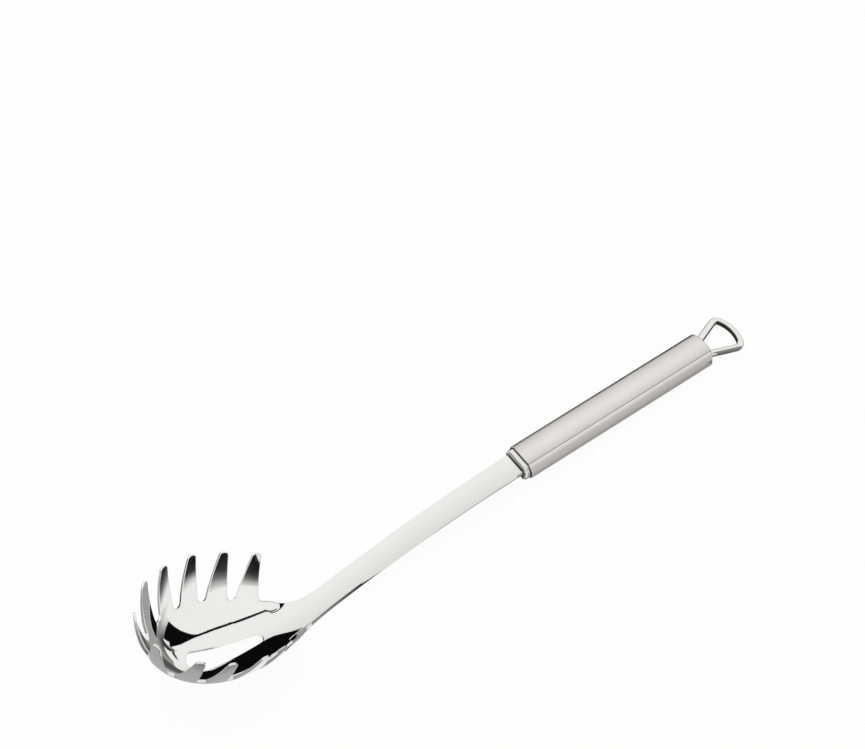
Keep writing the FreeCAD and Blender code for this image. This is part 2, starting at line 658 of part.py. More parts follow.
# Rest pose: down on the neck's underside and on the rear end of the handle's lower face
lever = size("handle_length") - neck_centre.x
height = neck_centre.z + size("handle_depth")
rest_angle = math.asin((neck_radius + shank_thickness) / math.hypot(lever, height)) - math.atan2(height, lever)
turned = FreeCAD.Placement(Vector(0, 0, 0), FreeCAD.Rotation(Vector(0, 1, 0), math.degrees(rest_angle)))
pieces = [head, collar, tube, plug, loop]
reach_box = FreeCAD.BoundBox()
for piece in pieces:
    turned_shape = piece.Shape.copy()
    turned_shape.Placement = turned.multiply(turned_shape.Placement)
    for vertex in turned_shape.tessellate(size("fit_clearance"))[0]:
        reach_box.add(vertex)
rest = FreeCAD.Placement(Vector(-reach_box.Center.x, 0, -reach_box.ZMin), turned.Rotation)
for piece in pieces:
    piece.Label = piece.Name
    piece.Placement = rest
doc.recompute()

# Check every object before anything is written
for item in doc.Objects:
    if "Invalid" in item.State or "Error" in item.State:
        raise RuntimeError(f"{item.Name} failed: {item.State}")
for piece in pieces:
    if piece.Shape.isNull() or not piece.Shape.isValid() or len(piece.Shape.Solids) != 1:
        raise RuntimeError(f"{piece.Label} has no single valid solid")
if not tube.Shape.Volume < tube_blank_volume or not collar.Shape.Volume < collar_blank_volume:
    raise RuntimeError("a cut on the handle removed nothing")
if not plug.Shape.Volume < plug_round_volume < plug_blank_volume:
    raise RuntimeError("a cut on the plug removed nothing")

os.makedirs("parts", exist_ok=True)
for piece in pieces:
    piece.Shape.exportStep(f"parts/{piece.Label}.step")
    print(piece.Label, round(piece.Shape.Volume), piece.Shape.BoundBox)
print("rest angle", round(math.degrees(rest_angle), 2), "placement", rest)
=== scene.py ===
"""Pasta server in polished and satin steel, lying on a pale studio floor.

The pressed head, the handle's shell and the wire loop are drawn here with the rounded edges that polished
steel shows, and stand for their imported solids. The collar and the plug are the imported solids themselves, with
a better finish. Most sizes are the solids' own. The sheet's thickness towards the teeth and a few sizes of
the shell and the loop follow the photograph more closely. Sizes are millimetres in the handle's frame (origin
on the handle's front top edge, +X to the rear, +Z up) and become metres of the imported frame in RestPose. The
studio is in metres.
"""

from __future__ import annotations

import logging
import math
from dataclasses import dataclass
from enum import Enum
from typing import Any, Iterable, Sequence

import bpy
import numpy as np
from mathutils import Matrix, Vector
from mathutils.geometry import delaunay_2d_cdt

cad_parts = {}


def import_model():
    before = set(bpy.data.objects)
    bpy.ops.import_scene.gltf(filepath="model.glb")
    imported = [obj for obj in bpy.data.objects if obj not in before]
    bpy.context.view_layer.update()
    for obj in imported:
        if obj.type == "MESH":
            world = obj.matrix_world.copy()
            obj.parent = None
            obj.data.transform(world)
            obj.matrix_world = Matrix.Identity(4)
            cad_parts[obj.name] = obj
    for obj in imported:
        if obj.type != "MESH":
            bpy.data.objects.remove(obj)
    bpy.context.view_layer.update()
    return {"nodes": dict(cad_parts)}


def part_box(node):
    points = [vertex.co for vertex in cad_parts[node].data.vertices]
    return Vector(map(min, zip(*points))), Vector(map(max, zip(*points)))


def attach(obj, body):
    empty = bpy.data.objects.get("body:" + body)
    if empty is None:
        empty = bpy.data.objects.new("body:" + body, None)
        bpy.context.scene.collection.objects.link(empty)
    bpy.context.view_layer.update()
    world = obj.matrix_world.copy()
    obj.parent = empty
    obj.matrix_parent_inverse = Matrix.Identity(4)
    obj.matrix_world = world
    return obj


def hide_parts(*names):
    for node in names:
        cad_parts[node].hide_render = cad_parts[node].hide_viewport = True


LOG = logging.getLogger("pasta_server")
# Metres in a millimetre.
METRE = 0.001
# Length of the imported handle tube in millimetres.
TUBE_LENGTH = 115.2
Pair = tuple[float, float]
Triple = tuple[float, float, float]
Spot = tuple[float, float, float, float]
Columns = tuple[tuple[Spot, ...], ...]


class Operation(Enum):
    """Math node operations that expressions on shader values use."""

    ADD = "ADD"
    SUBTRACT = "SUBTRACT"
    MULTIPLY = "MULTIPLY"
    DIVIDE = "DIVIDE"
    POWER = "POWER"
    MAXIMUM = "MAXIMUM"


class Signal:
    """A shader value that takes part in Python expressions."""

    def __init__(self, board: "ShaderBoard", socket: bpy.types.NodeSocket) -> None:
        """Wrap an output socket of a board."""
        self.board = board
        self.socket = socket

    def combine(self, operation: Operation, other: "Signal | float", swapped: bool = False) -> "Signal":
        """Add a Math node for one operation.

        Args:
            operation: what the Math node does.
            other: the second value.
            swapped: whether the second value comes first.

        Returns:
            The Math node's value.
        """
        first, second = (other, self) if swapped else (self, other)
        return self.board.node("ShaderNodeMath", {"operation": operation.value}, {0: first, 1: second})

    def __add__(self, other: "Signal | float") -> "Signal":
        """Sum."""
        return self.combine(Operation.ADD, other)

    def __radd__(self, other: float) -> "Signal":
        """Sum with a plain number first."""
        return self.combine(Operation.ADD, other, True)

    def __sub__(self, other: "Signal | float") -> "Signal":
        """Difference."""
        return self.combine(Operation.SUBTRACT, other)

    def __rsub__(self, other: float) -> "Signal":
        """Difference with a plain number first."""
        return self.combine(Operation.SUBTRACT, other, True)

    def __mul__(self, other: "Signal | float") -> "Signal":
        """Product."""
        return self.combine(Operation.MULTIPLY, other)

    def __rmul__(self, other: float) -> "Signal":
        """Product with a plain number first."""
        return self.combine(Operation.MULTIPLY, other, True)

    def __truediv__(self, other: "Signal | float") -> "Signal":
        """Quotient."""
        return self.combine(Operation.DIVIDE, other)

    def __rtruediv__(self, other: float) -> "Signal":
        """Quotient with a plain number first."""
        return self.combine(Operation.DIVIDE, other, True)

    def __pow__(self, other: float) -> "Signal":
        """Power."""
        return self.combine(Operation.POWER, other)

    def either(self, other: "Signal | float") -> "Signal":
        """The larger of two values."""
        return self.combine(Operation.MAXIMUM, other)


class ShaderBoard:
    """A node tree that is filled one node at a time."""

    def __init__(self, tree: bpy.types.NodeTree) -> None:
        """Empty a tree and start from nothing."""
        self.tree = tree
        tree.nodes.clear()

    def node(self, kind: str, settings: dict[str, Any] | None = None, inputs: dict[Any, Any] | None = None,
             output: str | int = 0) -> Signal:
        """Add one node.

        Args:
            kind: the node's type.
            settings: attributes, which are set first.
            inputs: values or signals for its sockets, by name or index.
            output: which output the returned signal stands for.

        Returns:
            The chosen output; for an end node, its first input.
        """
        made = self.tree.nodes.new(kind)
        for key, value in (settings or {}).items():
            setattr(made, key, value)
        for key, value in (inputs or {}).items():
            if isinstance(value, Signal):
                self.tree.links.new(value.socket, made.inputs[key])
            else:
                made.inputs[key].default_value = value
        sockets = made.outputs if len(made.outputs) else made.inputs
        return Signal(self, sockets[output])


def link_object(name: str, data: Any) -> bpy.types.Object:
    """Make an object from its data and link it to the scene.

    Args:
        name: the object's name.
        data: a mesh, a light or a camera.

    Returns:
        The object.
    """
    made = bpy.data.objects.new(name, data)
    bpy.context.scene.collection.objects.link(made)
    return made


def start_material(name: str) -> tuple[bpy.types.Material, ShaderBoard]:
    """Make a material with an empty board.

    Args:
        name: the material's name.

    Returns:
        The material and its board.
    """
    made = bpy.data.materials.new(name)
    made.use_nodes = True
    return made, ShaderBoard(made.node_tree)


def grey(level: float) -> Spot:
    """An opaque grey."""
    return (level, level, level, 1.0)


@dataclass(frozen=True)
class SteelFinish:
    """A steel surface: its tint, its gloss and the fine marks of polishing or brushing.

    The marks are noise stretched along the handle, so brushed steel shows hairlines and polished steel only a
    faint drift of its gloss. The tint can also carry painted shade, from four fields below in this order: a
    share that darkens a flat top towards its edges, a share that paints a dark reflection on the corners
    between flat and side, a share that darkens the near half, and a distance within which ambient occlusion
    paints shade into narrow places. Lengths are millimetres, and levels are the upward part of the normal.
    """

    name: str
    tint: Triple
    roughness: float
    roughness_drift: float
    tint_drift: float
    mark_stretch: Triple
    mark_scale: float
    mark_bump: float
    mark_depth: float = 0.1
    mark_detail: float = 5.0
    mark_grain: float = 0.62
    cloud_scale: float = 32.0
    cloud_detail: float = 2.0
    cloud_grain: float = 0.5
    crown_shade: float = 0.0
    crown_shade_half: float = 6.3
    crown_shade_lean: float = 0.03
    crown_shade_power: float = 12.0
    painted_edge_line: float = 0.0
    side_levels: Pair = (0.835, 0.85)
    flat_levels: Pair = (0.998, 0.99)
    near_shade: float = 0.0
    near_shade_places: Pair = (3.0, -6.0)
    crevice_shade: float = 0.0
    crevice_shade_power: float = 1.6
    crevice_shade_samples: int = 12

    @staticmethod
    def coordinate(board: ShaderBoard, source: str, axis: str) -> Signal:
        """One coordinate of the surface's place (Object) or direction (Normal)."""
        vector = board.node("ShaderNodeTexCoord", output=source)
        return board.node("ShaderNodeSeparateXYZ", inputs={"Vector": vector}, output=axis)

    @staticmethod
    def ramp(board: ShaderBoard, value: Signal, start: float, end: float) -> Signal:
        """A clamped slope from 0 at start to 1 at end."""
        return board.node("ShaderNodeMapRange", {"clamp": True}, {
            "Value": value, "From Min": start, "From Max": end, "To Min": 0.0, "To Max": 1.0})

    def darkened(self, board: ShaderBoard, shade: Signal) -> Signal:
        """Darken the tint with painted shade where the finish asks for it.

        Args:
            board: the finish's board.
            shade: the brightness so far.

        Returns:
            The darkened brightness.
        """
        # Painted shade: a flat top darker towards its edges, as a crowned top would look.
        if self.crown_shade > 0.0:
            upward = self.coordinate(board, "Normal", "Z")
            across = self.coordinate(board, "Object", "Y") / (self.crown_shade_half * METRE) + self.crown_shade_lean
            shade = shade * (1.0 - upward ** self.crown_shade_power * across * across * self.crown_shade)
        # Painted dark reflection: a dark line along the corners between flat and side.
        if self.painted_edge_line > 0.0:
            upward = self.coordinate(board, "Normal", "Z")
            level = upward.either(0.0 - upward)
            corner = self.ramp(board, level, *self.side_levels) * self.ramp(board, level, *self.flat_levels)
            shade = shade * (1.0 - corner * self.painted_edge_line)
        # Painted shade: the near half darker.
        if self.near_shade > 0.0:
            across = self.coordinate(board, "Object", "Y")
            start, end = (place * METRE for place in self.near_shade_places)
            shade = shade * (1.0 - self.ramp(board, across, start, end) * self.near_shade)
        # Painted shade: ambient occlusion darkens narrow places, such as seams and the foot of a wall.
        if self.crevice_shade > 0.0:
            opened = board.node("ShaderNodeAmbientOcclusion", {"samples": self.crevice_shade_samples}, {
                "Distance": self.crevice_shade * METRE}, output="AO")
            shade = shade * opened ** self.crevice_shade_power
        return shade

    def material(self) -> bpy.types.Material:
        """Build the finish.

        Returns:
            The material.
        """
        made, board = start_material(self.name)
        place = board.node("ShaderNodeTexCoord", output="Object")
        stretched = board.node("ShaderNodeMapping", inputs={"Vector": place, "Scale": self.mark_stretch})
        marks = board.node("ShaderNodeTexNoise", inputs={
            "Vector": stretched, "Scale": self.mark_scale, "Detail": self.mark_detail,
            "Roughness": self.mark_grain})
        clouds = board.node("ShaderNodeTexNoise", inputs={
            "Vector": place, "Scale": self.cloud_scale, "Detail": self.cloud_detail,
            "Roughness": self.cloud_grain})
        gloss = (self.roughness + (marks - 0.5) * self.roughness_drift
                 + (clouds - 0.5) * (0.5 * self.roughness_drift))
        shade = 1.0 + (clouds - 0.5) * self.tint_drift + (marks - 0.5) * self.tint_drift
        shade = self.darkened(board, shade)
        tinted = board.node("ShaderNodeVectorMath", {"operation": "SCALE"}, {0: self.tint, "Scale": shade})
        relief = board.node("ShaderNodeBump", inputs={
            "Strength": self.mark_bump, "Distance": self.mark_depth * METRE, "Height": marks})
        steel = board.node("ShaderNodeBsdfPrincipled", inputs={
            "Base Color": tinted, "Metallic": 1.0, "Roughness": gloss, "Normal": relief})
        board.node("ShaderNodeOutputMaterial", inputs={"Surface": steel})
        return made


@dataclass(frozen=True)
class RestPose:
    """How the handle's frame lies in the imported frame: a small turn about Y and a shift."""

    angle: float
    shift: Triple

    @classmethod
    def from_tube(cls, angle: float, length: float, depth: float) -> "RestPose":
        """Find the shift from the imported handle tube.

        Args:
            angle: turn about Y in radians.
            length: the tube's length.
            depth: the tube's depth.

        Returns:
            The pose.
        """
        low, _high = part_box("handle_tube")
        shift_x = low.x / METRE + depth * math.sin(angle)
        shift_z = low.z / METRE + length * math.sin(angle) + depth * math.cos(angle)
        return cls(angle, (shift_x, 0.0, shift_z))

    def matrix(self) -> np.ndarray:
        """The turn as a 3 by 3 matrix."""
        cos, sin = math.cos(self.angle), math.sin(self.angle)
        return np.array([[cos, 0.0, sin], [0.0, 1.0, 0.0], [-sin, 0.0, cos]])

    def points(self, places: np.ndarray) -> np.ndarray:
        """Handle-frame millimetres to packed-frame metres."""
        return (places @ self.matrix().T + np.array(self.shift)) * METRE

    def directions(self, vectors: np.ndarray) -> np.ndarray:
        """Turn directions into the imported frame."""
        return vectors @ self.matrix().T


class MeshDraft:
    """A mesh in the making: points, faces and the exact normal at each point."""

    def __init__(self, pose: RestPose) -> None:
        """Start empty.

        Args:
            pose: how the handle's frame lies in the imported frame.
        """
        self.pose = pose
        self.places: list[np.ndarray] = []
        self.normals: list[np.ndarray] = []
        self.faces: list[tuple[int, ...]] = []
        self.count = 0

    def add_points(self, places: np.ndarray, normals: np.ndarray) -> np.ndarray:
        """Add points with their normals.

        Args:
            places: one row per point, in the handle's frame.
            normals: one row per point.

        Returns:
            The new points' numbers.
        """
        numbers = np.arange(self.count, self.count + len(places))
        self.places.append(np.asarray(places, float))
        self.normals.append(np.asarray(normals, float))
        self.count += len(places)
        return numbers

    def add_faces(self, faces: Iterable[Sequence[int]]) -> None:
        """Add faces by point number."""
        self.faces.extend(tuple(int(number) for number in face) for face in faces)

    def bridge(self, first: np.ndarray, second: np.ndarray, closed: bool = True) -> None:
        """Join two rows of points with four-sided faces.

        Args:
            first: point numbers of one row.
            second: point numbers of the other row.
            closed: whether the rows are rings.
        """
        last = len(first) if closed else len(first) - 1
        for index in range(last):
            following = (index + 1) % len(first)
            self.add_faces([(first[index], first[following], second[following], second[index])])

    def build(self, name: str, material: bpy.types.Material) -> bpy.types.Object:
        """Make the object, with faces turned to agree with the normals.

        Args:
            name: the object's name.
            material: its finish.

        Returns:
            The object, linked to the scene.
        """
        places = np.vstack(self.places)
        normals = np.vstack(self.normals)
        normals /= np.linalg.norm(normals, axis=1, keepdims=True)
        faces = []
        for face in self.faces:
            corner = places[list(face)]
            facing = np.cross(corner[1] - corner[0], corner[2] - corner[0])
            if len(face) > 3:
                facing = facing + np.cross(corner[2] - corner[0], corner[3] - corner[0])
            faces.append(face if facing @ normals[list(face)].sum(axis=0) >= 0 else face[::-1])
        mesh = bpy.data.meshes.new(name)
        mesh.from_pydata(self.pose.points(places).tolist(), [], faces)
        mesh.validate()
        mesh.polygons.foreach_set("use_smooth", [True] * len(mesh.polygons))
        mesh.normals_split_custom_set_from_vertices(self.pose.directions(normals).tolist())
        mesh.materials.append(material)
        return link_object(name, mesh)


def ease(share: np.ndarray) -> np.ndarray:
    """A smooth step from 0 to 1."""
    share = np.clip(share, 0.0, 1.0)
    return share * share * (3.0 - 2.0 * share)


@dataclass(frozen=True)
class MiddleLine:
    """The head's middle line seen from the side: the bow of the shank and the upward neck."""

    shank_drop: float = 3.1
    bow_radius: float = 532.0
    bow_turn: float = math.radians(12.2)
    neck_radius: float = 104.0
    shank_thickness: float = 3.2

    def neck_centre(self) -> np.ndarray:
        """Middle of the neck's arc, in the handle's frame."""
        bow = self.bow_radius + self.neck_radius
        return np.array([-bow * math.sin(self.bow_turn), 0.0,
                         -self.shank_drop - self.bow_radius + bow * math.cos(self.bow_turn)])

    def rest_angle(self, handle_length: float, handle_depth: float) -> float:
        """Turn that sets the neck's underside and the handle's rear edge on the floor.

        Args:
            handle_length: the handle's length.
            handle_depth: the handle's depth.

        Returns:
            The angle in radians.
        """
        centre = self.neck_centre()
        lever, height = handle_length - centre[0], centre[2] + handle_depth
        drop = math.asin((self.neck_radius + self.shank_thickness) / math.hypot(lever, height))
        return drop - math.atan2(height, lever)


@dataclass
class PressedHead:
    """Bowl, neck, shank and tang, pressed and cut from one sheet.

    Points of the sheet are (s, y, w) in the bowl's frame: s forward, y across, w along the bowl's axis, from
    the middle of the bowl's curve. A point of the upper face has two surface places: along (s over the bowl's
    reach behind the middle, a pitch angle before it) and roll (an angle across).
    """

    pose: RestPose
    line: MiddleLine
    tilt: float = math.radians(27.3)
    reach: float = 51.5
    half_span: float = 35.7
    curve_depth: float = 68.4
    bowl_depth: float = 38.6
    front_steep: float = 0.112
    front_kept_depth: float = 0.68
    neck_span: float = 20.5
    neck_blend: float = 55.0
    fade_start: float = 38.0
    fade_length: float = 21.0
    root_half: float = 6.3
    waist_half: float = 5.9
    flare_radius: float = 70.0
    flare_blend_start: float = -44.0
    flare_blend_length: float = 7.0
    tang_length: float = 16.0
    bowl_thickness: float = 2.4
    wall_thickness: float = 1.7
    tip_thickness: float = 1.2
    wall_rise: float = 4.5
    edge_round: float = 0.35
    gap_depth: float = 23.8
    gap_radius: float = 2.4
    tip_radius: float = 2.3
    shoulder_share: float = 1.18
    rear_tip_shares: tuple[float, ...] = (0.855, 0.458, 0.037)
    front_tip_shares: tuple[float, ...] = (0.337, 0.641, 0.955)
    slot_front_radius: float = 6.1
    slot_rear_radius: float = 2.7
    slot_front: float = 3.3
    slot_rear: float = -29.3
    grid_step: float = 1.3
    grid_clear_share: float = 0.55
    search_share: float = 1.2
    search_rounds: int = 50
    lift_rounds: int = 12
    least_rise: float = 1e-6
    just_behind: float = -1e-9
    weld: float = 1e-7
    gullet_points: int = 7
    tip_points: int = 8
    flank_points: int = 18
    shank_points: int = 70
    flare_points: int = 32
    end_points: int = 8
    slot_front_points: int = 28
    slot_rear_points: int = 16
    slot_side_points: int = 26
    edge_steps: int = 5

    def __post_init__(self) -> None:
        """Work out the bowl's frame and the stations along the middle line."""
        self.neck_radius = self.line.neck_radius
        self.forward = np.array([-math.cos(self.tilt), 0.0, math.sin(self.tilt)])
        self.upward = np.array([math.sin(self.tilt), 0.0, math.cos(self.tilt)])
        self.middle = self.line.neck_centre() + self.upward * (self.curve_depth - self.neck_radius)
        root = np.array([0.0, 0.0, -self.line.shank_drop]) - self.middle
        self.root_station = float(root @ self.forward)
        self.root_level = float(root @ self.upward)
        self.neck_station = -self.neck_radius * math.sin(self.tilt + self.line.bow_turn)
        self.tang_station = self.root_station - self.tang_length * math.cos(self.tilt)
        self.rim_level = self.bowl_depth - self.curve_depth
        rim_share = -self.rim_level / self.curve_depth
        self.rim_reach = self.reach_at(rim_share) * math.sqrt(1.0 - rim_share ** 2)

    def reach_at(self, depth_share: Any) -> Any:
        """Reach of the bowl's steepened front curve at a share of the curve's depth."""
        return self.reach * (1.0 + self.front_steep * (depth_share - self.front_kept_depth))

    def thickness_at(self, along: np.ndarray, level: np.ndarray) -> np.ndarray:
        """Thickness of the sheet, which the press thins from the neck into the bowl and on to the tips.

        Args:
            along: surface place along the sheet.
            level: level in the bowl's frame.

        Returns:
            The thickness at each place.
        """
        station = np.minimum(along, 0.0) * self.reach
        extra = self.line.shank_thickness - self.bowl_thickness
        middle = self.bowl_thickness + extra * ease(-station / self.fade_start)
        up_tooth = ease((level - self.rim_level) / self.gap_depth + 1.0)
        side = self.wall_thickness - (self.wall_thickness - self.tip_thickness) * up_tooth
        return middle + (side - middle) * ease((level - self.floor_level(station)) / self.wall_rise)

    def to_handle(self, local: np.ndarray) -> np.ndarray:
        """Bowl-frame points to the handle's frame."""
        return self.middle + self.turn_to_handle(local)

    def turn_to_handle(self, local: np.ndarray) -> np.ndarray:
        """Bowl-frame directions to the handle's frame."""
        return (np.outer(local[:, 0], self.forward) + np.outer(local[:, 1], (0.0, 1.0, 0.0))
                + np.outer(local[:, 2], self.upward))

    def floor_level(self, station: np.ndarray) -> np.ndarray:
        """Level of the upper face on the middle line, behind the bowl's middle.

        Args:
            station: places along the bowl's frame.

        Returns:
            The level at each place.
        """
        neck = self.neck_radius - self.curve_depth - np.sqrt(
            np.maximum(self.neck_radius ** 2 - station ** 2, 0.0))
        bow = self.line.bow_radius + self.neck_radius
        bow_station = -bow * math.sin(self.tilt + self.line.bow_turn)
        bow_level = self.neck_radius - self.curve_depth - bow * math.cos(self.tilt + self.line.bow_turn)
        shank = bow_level + np.sqrt(np.maximum(self.line.bow_radius ** 2 - (station - bow_station) ** 2, 0.0))
        tang = self.root_level + (self.root_station - station) * math.tan(self.tilt)
        return np.where(station > self.neck_station, neck, np.where(station > self.root_station, shank, tang))

    def span(self, station: np.ndarray) -> np.ndarray:
        """Half span of the dished section."""
        return self.half_span - (self.half_span - self.neck_span) * ease(-station / self.neck_blend)

    def rise(self, station: np.ndarray) -> np.ndarray:
        """How far the section would rise at a quarter turn."""
        return -self.floor_level(station) * (1.0 - ease((-station - self.fade_start) / self.fade_length))

    def surface(self, along: np.ndarray, roll: np.ndarray) -> np.ndarray:
        """Points of the upper face.

        Args:
            along: surface place along the sheet.
            roll: angle across the sheet.

        Returns:
            One bowl-frame row per point.
        """
        station = np.minimum(along, 0.0) * self.reach
        rear = np.stack([station, self.span(station) * np.sin(roll),
                         self.floor_level(station) + self.rise(station) * (1.0 - np.cos(roll))], axis=1)
        pitch = np.maximum(along, 0.0)
        depth_share = np.cos(pitch) * np.cos(roll)
        front = np.stack([self.reach_at(depth_share) * np.sin(pitch) * np.cos(roll),
                          self.half_span * np.sin(roll), -self.curve_depth * depth_share], axis=1)
        return np.where((along < 0.0)[:, None], rear, front)

    def normal(self, along: np.ndarray, roll: np.ndarray) -> np.ndarray:
        """Unit normals of the upper face, pointing out of the bowl's hollow side.

        Args:
            along: surface place along the sheet.
            roll: angle across the sheet.

        Returns:
            One bowl-frame row per point.
        """
        small = 1e-4
        lengthwise = self.surface(along + small, roll) - self.surface(along - small, roll)
        crosswise = self.surface(along, roll + small) - self.surface(along, roll - small)
        normals = np.cross(lengthwise, crosswise)
        return normals / np.linalg.norm(normals, axis=1, keepdims=True)

    def places_of(self, local: np.ndarray) -> tuple[np.ndarray, np.ndarray]:
        """Surface places of bowl-frame points that lie on the upper face.

        Args:
            local: one bowl-frame row per point.

        Returns:
            The places along and the rolls.
        """
        station, across, level = local[:, 0], local[:, 1], local[:, 2]
        rear_roll = np.arcsin(np.clip(across / self.span(np.minimum(station, 0.0)), -1.0, 1.0))
        front_roll = np.arcsin(np.clip(across / self.half_span, -1.0, 1.0))
        depth_share = -level / self.curve_depth
        pitch = np.arctan2(station / self.reach_at(depth_share), depth_share)
        behind = station < 0.0
        return np.where(behind, station / self.reach, pitch), np.where(behind, rear_roll, front_roll)

    def half_width(self, station: np.ndarray, level: np.ndarray) -> np.ndarray:
        """Half width of the upper face at a level.

        Args:
            station: places along the bowl's frame.
            level: the level at each place.

        Returns:
            The half width at each place.
        """
        behind = np.minimum(station, 0.0)
        cosine = 1.0 - (level - self.floor_level(behind)) / np.maximum(self.rise(behind), self.least_rise)
        rear = self.span(behind) * np.sqrt(np.maximum(1.0 - cosine ** 2, 0.0))
        front = self.half_span * np.sqrt(np.maximum(
            1.0 - (level / self.curve_depth) ** 2
            - (np.maximum(station, 0.0) / self.reach_at(-level / self.curve_depth)) ** 2, 0.0))
        return np.where(station < 0.0, rear, front)

    def lift(self, plan: np.ndarray) -> np.ndarray:
        """Set plan points on the upper face.

        Args:
            plan: one row of s and y per point.

        Returns:
            One bowl-frame row per point.
        """
        station, across = plan[:, 0], plan[:, 1]
        behind = np.minimum(station, 0.0)
        cosine = np.sqrt(np.maximum(1.0 - (across / self.span(behind)) ** 2, 0.0))
        rear = self.floor_level(behind) + self.rise(behind) * (1.0 - cosine)
        across_part = (across / self.half_span) ** 2
        depth_share = np.ones(len(plan))
        for _round in range(self.lift_rounds):
            along_part = (np.maximum(station, 0.0) / self.reach_at(depth_share)) ** 2
            depth_share = np.sqrt(np.maximum(1.0 - along_part - across_part, 0.0))
        level = np.where(station < 0.0, rear, -self.curve_depth * depth_share)
        return np.stack([station, across, level], axis=1)

    def wall_points(self, start: np.ndarray, outward: np.ndarray, level: np.ndarray) -> np.ndarray:
        """Where level lines that run outwards meet the upper face.

        Args:
            start: plan points inside the bowl.
            outward: the plan direction of all lines.
            level: the level of each line.

        Returns:
            One bowl-frame row per line.
        """
        near = np.zeros(len(start))
        far = np.full(len(start), self.search_share * self.half_span)
        for _round in range(self.search_rounds):
            mid = 0.5 * (near + far)
            spot = start + outward * mid[:, None]
            front_out = ((np.maximum(spot[:, 0], 0.0) / self.reach_at(-level / self.curve_depth)) ** 2
                         + (spot[:, 1] / self.half_span) ** 2 > 1.0 - (level / self.curve_depth) ** 2)
            rear_out = np.abs(spot[:, 1]) > self.half_width(np.minimum(spot[:, 0], self.just_behind), level)
            outside = np.where(spot[:, 0] < 0.0, rear_out, front_out)
            far = np.where(outside, mid, far)
            near = np.where(outside, near, mid)
        spot = start + outward * near[:, None]
        return np.column_stack([spot, level])

    def tooth_flank(self, half: float) -> np.ndarray:
        """Profile from a gap's lowest point to the tip of the tooth beside it.

        Args:
            half: half the chord between the two tips.

        Returns:
            Rows of run along the chord and fall below the rim plane.
        """
        tip = np.array([half, -self.tip_radius])
        gullet = np.array([0.0, self.gap_radius - self.gap_depth])
        between = tip - gullet
        lean = math.atan2(between[1], between[0]) - math.acos(
            (self.gap_radius + self.tip_radius) / float(np.hypot(*between)))
        low_arc = np.linspace(-math.pi / 2, lean, self.gullet_points)
        high_arc = np.linspace(lean + math.pi, math.pi / 2, self.tip_points)
        lower = gullet + self.gap_radius * np.stack([np.cos(low_arc), np.sin(low_arc)], axis=1)
        upper = tip + self.tip_radius * np.stack([np.cos(high_arc), np.sin(high_arc)], axis=1)
        share = np.linspace(0.0, 1.0, self.flank_points)[1:-1, None]
        flank = lower[-1] * (1.0 - share) + upper[0] * share
        run_and_level = np.vstack([lower, flank, upper])
        return np.column_stack([run_and_level[:, 0], -run_and_level[:, 1]])

    def gap_points(self, first: np.ndarray, second: np.ndarray, runs: np.ndarray,
                   falls: np.ndarray) -> np.ndarray:
        """Set a gap's profile on the sheet.

        Args:
            first: plan place of the tip before the gap.
            second: plan place of the tip after it.
            runs: places along the chord from its middle.
            falls: depths below the rim plane.

        Returns:
            One bowl-frame row per profile point.
        """
        chord = (second - first) / np.hypot(*(second - first))
        middle = 0.5 * (first + second)
        outward = np.array([chord[1], -chord[0]])
        if outward @ middle < 0.0:
            outward = -outward
        start = middle + np.outer(runs, chord) - outward * (0.5 * self.half_span)
        return self.wall_points(start, outward, self.rim_level - falls)

    def far_outline(self) -> np.ndarray:
        """Cut edge of the far half, from the tang's end to the bottom of the front gap.

        Returns:
            One bowl-frame row per point.
        """
        stations = np.array([-share * self.fade_start for share in self.rear_tip_shares]
                            + [share * self.rim_reach for share in self.front_tip_shares])
        tips = np.column_stack([stations, self.half_width(stations, np.full(len(stations), self.rim_level))])
        guide_station = np.array([-self.shoulder_share * self.fade_start])
        guide = np.array([guide_station[0], self.half_width(guide_station, np.array([self.rim_level]))[0]])
        flank = self.tooth_flank(0.5 * float(np.hypot(*(tips[0] - guide))))
        shoulder = self.gap_points(guide, tips[0], flank[:, 0], flank[:, 1])
        shank = np.linspace(self.tang_station, self.neck_station, self.shank_points)
        shank_half = np.interp(shank, [self.root_station, self.neck_station],
                               [self.root_half, self.waist_half])
        flare = np.linspace(self.neck_station, shoulder[0, 0], self.flare_points)[1:-1]
        flare_half = self.waist_half + self.flare_radius - np.sqrt(
            self.flare_radius ** 2 - (flare - self.neck_station) ** 2)
        cut_half = self.half_width(flare, np.full(len(flare), self.rim_level - self.gap_depth))
        share = ease((flare - self.flare_blend_start) / self.flare_blend_length)
        flare_half = flare_half * (1.0 - share) + cut_half * share
        strip = np.column_stack([np.append(shank, flare), np.append(shank_half, flare_half)])
        pieces = [self.lift(strip), shoulder]
        for first, second in zip(tips, tips[1:]):
            flank = self.tooth_flank(0.5 * float(np.hypot(*(second - first))))
            runs = np.concatenate([-flank[::-1, 0], flank[1:, 0]])
            falls = np.concatenate([flank[::-1, 1], flank[1:, 1]])
            pieces.append(self.gap_points(first, second, runs, falls)[1:])
        flank = self.tooth_flank(float(tips[-1, 1]))
        mirrored = tips[-1] * np.array([1.0, -1.0])
        pieces.append(self.gap_points(tips[-1], mirrored, -flank[::-1, 0], flank[::-1, 1])[1:])
        return np.vstack(pieces)

    def outline(self) -> np.ndarray:
        """The whole cut edge as a closed ring.

        Returns:
            One bowl-frame row per point.
        """
        far = self.far_outline()
        near = far[:-1][::-1] * np.array([1.0, -1.0, 1.0])
        across = np.linspace(-self.root_half, self.root_half, self.end_points)[1:-1]
        end = self.lift(np.column_stack([np.full(len(across), self.tang_station), across]))
        return np.vstack([far, near, end])

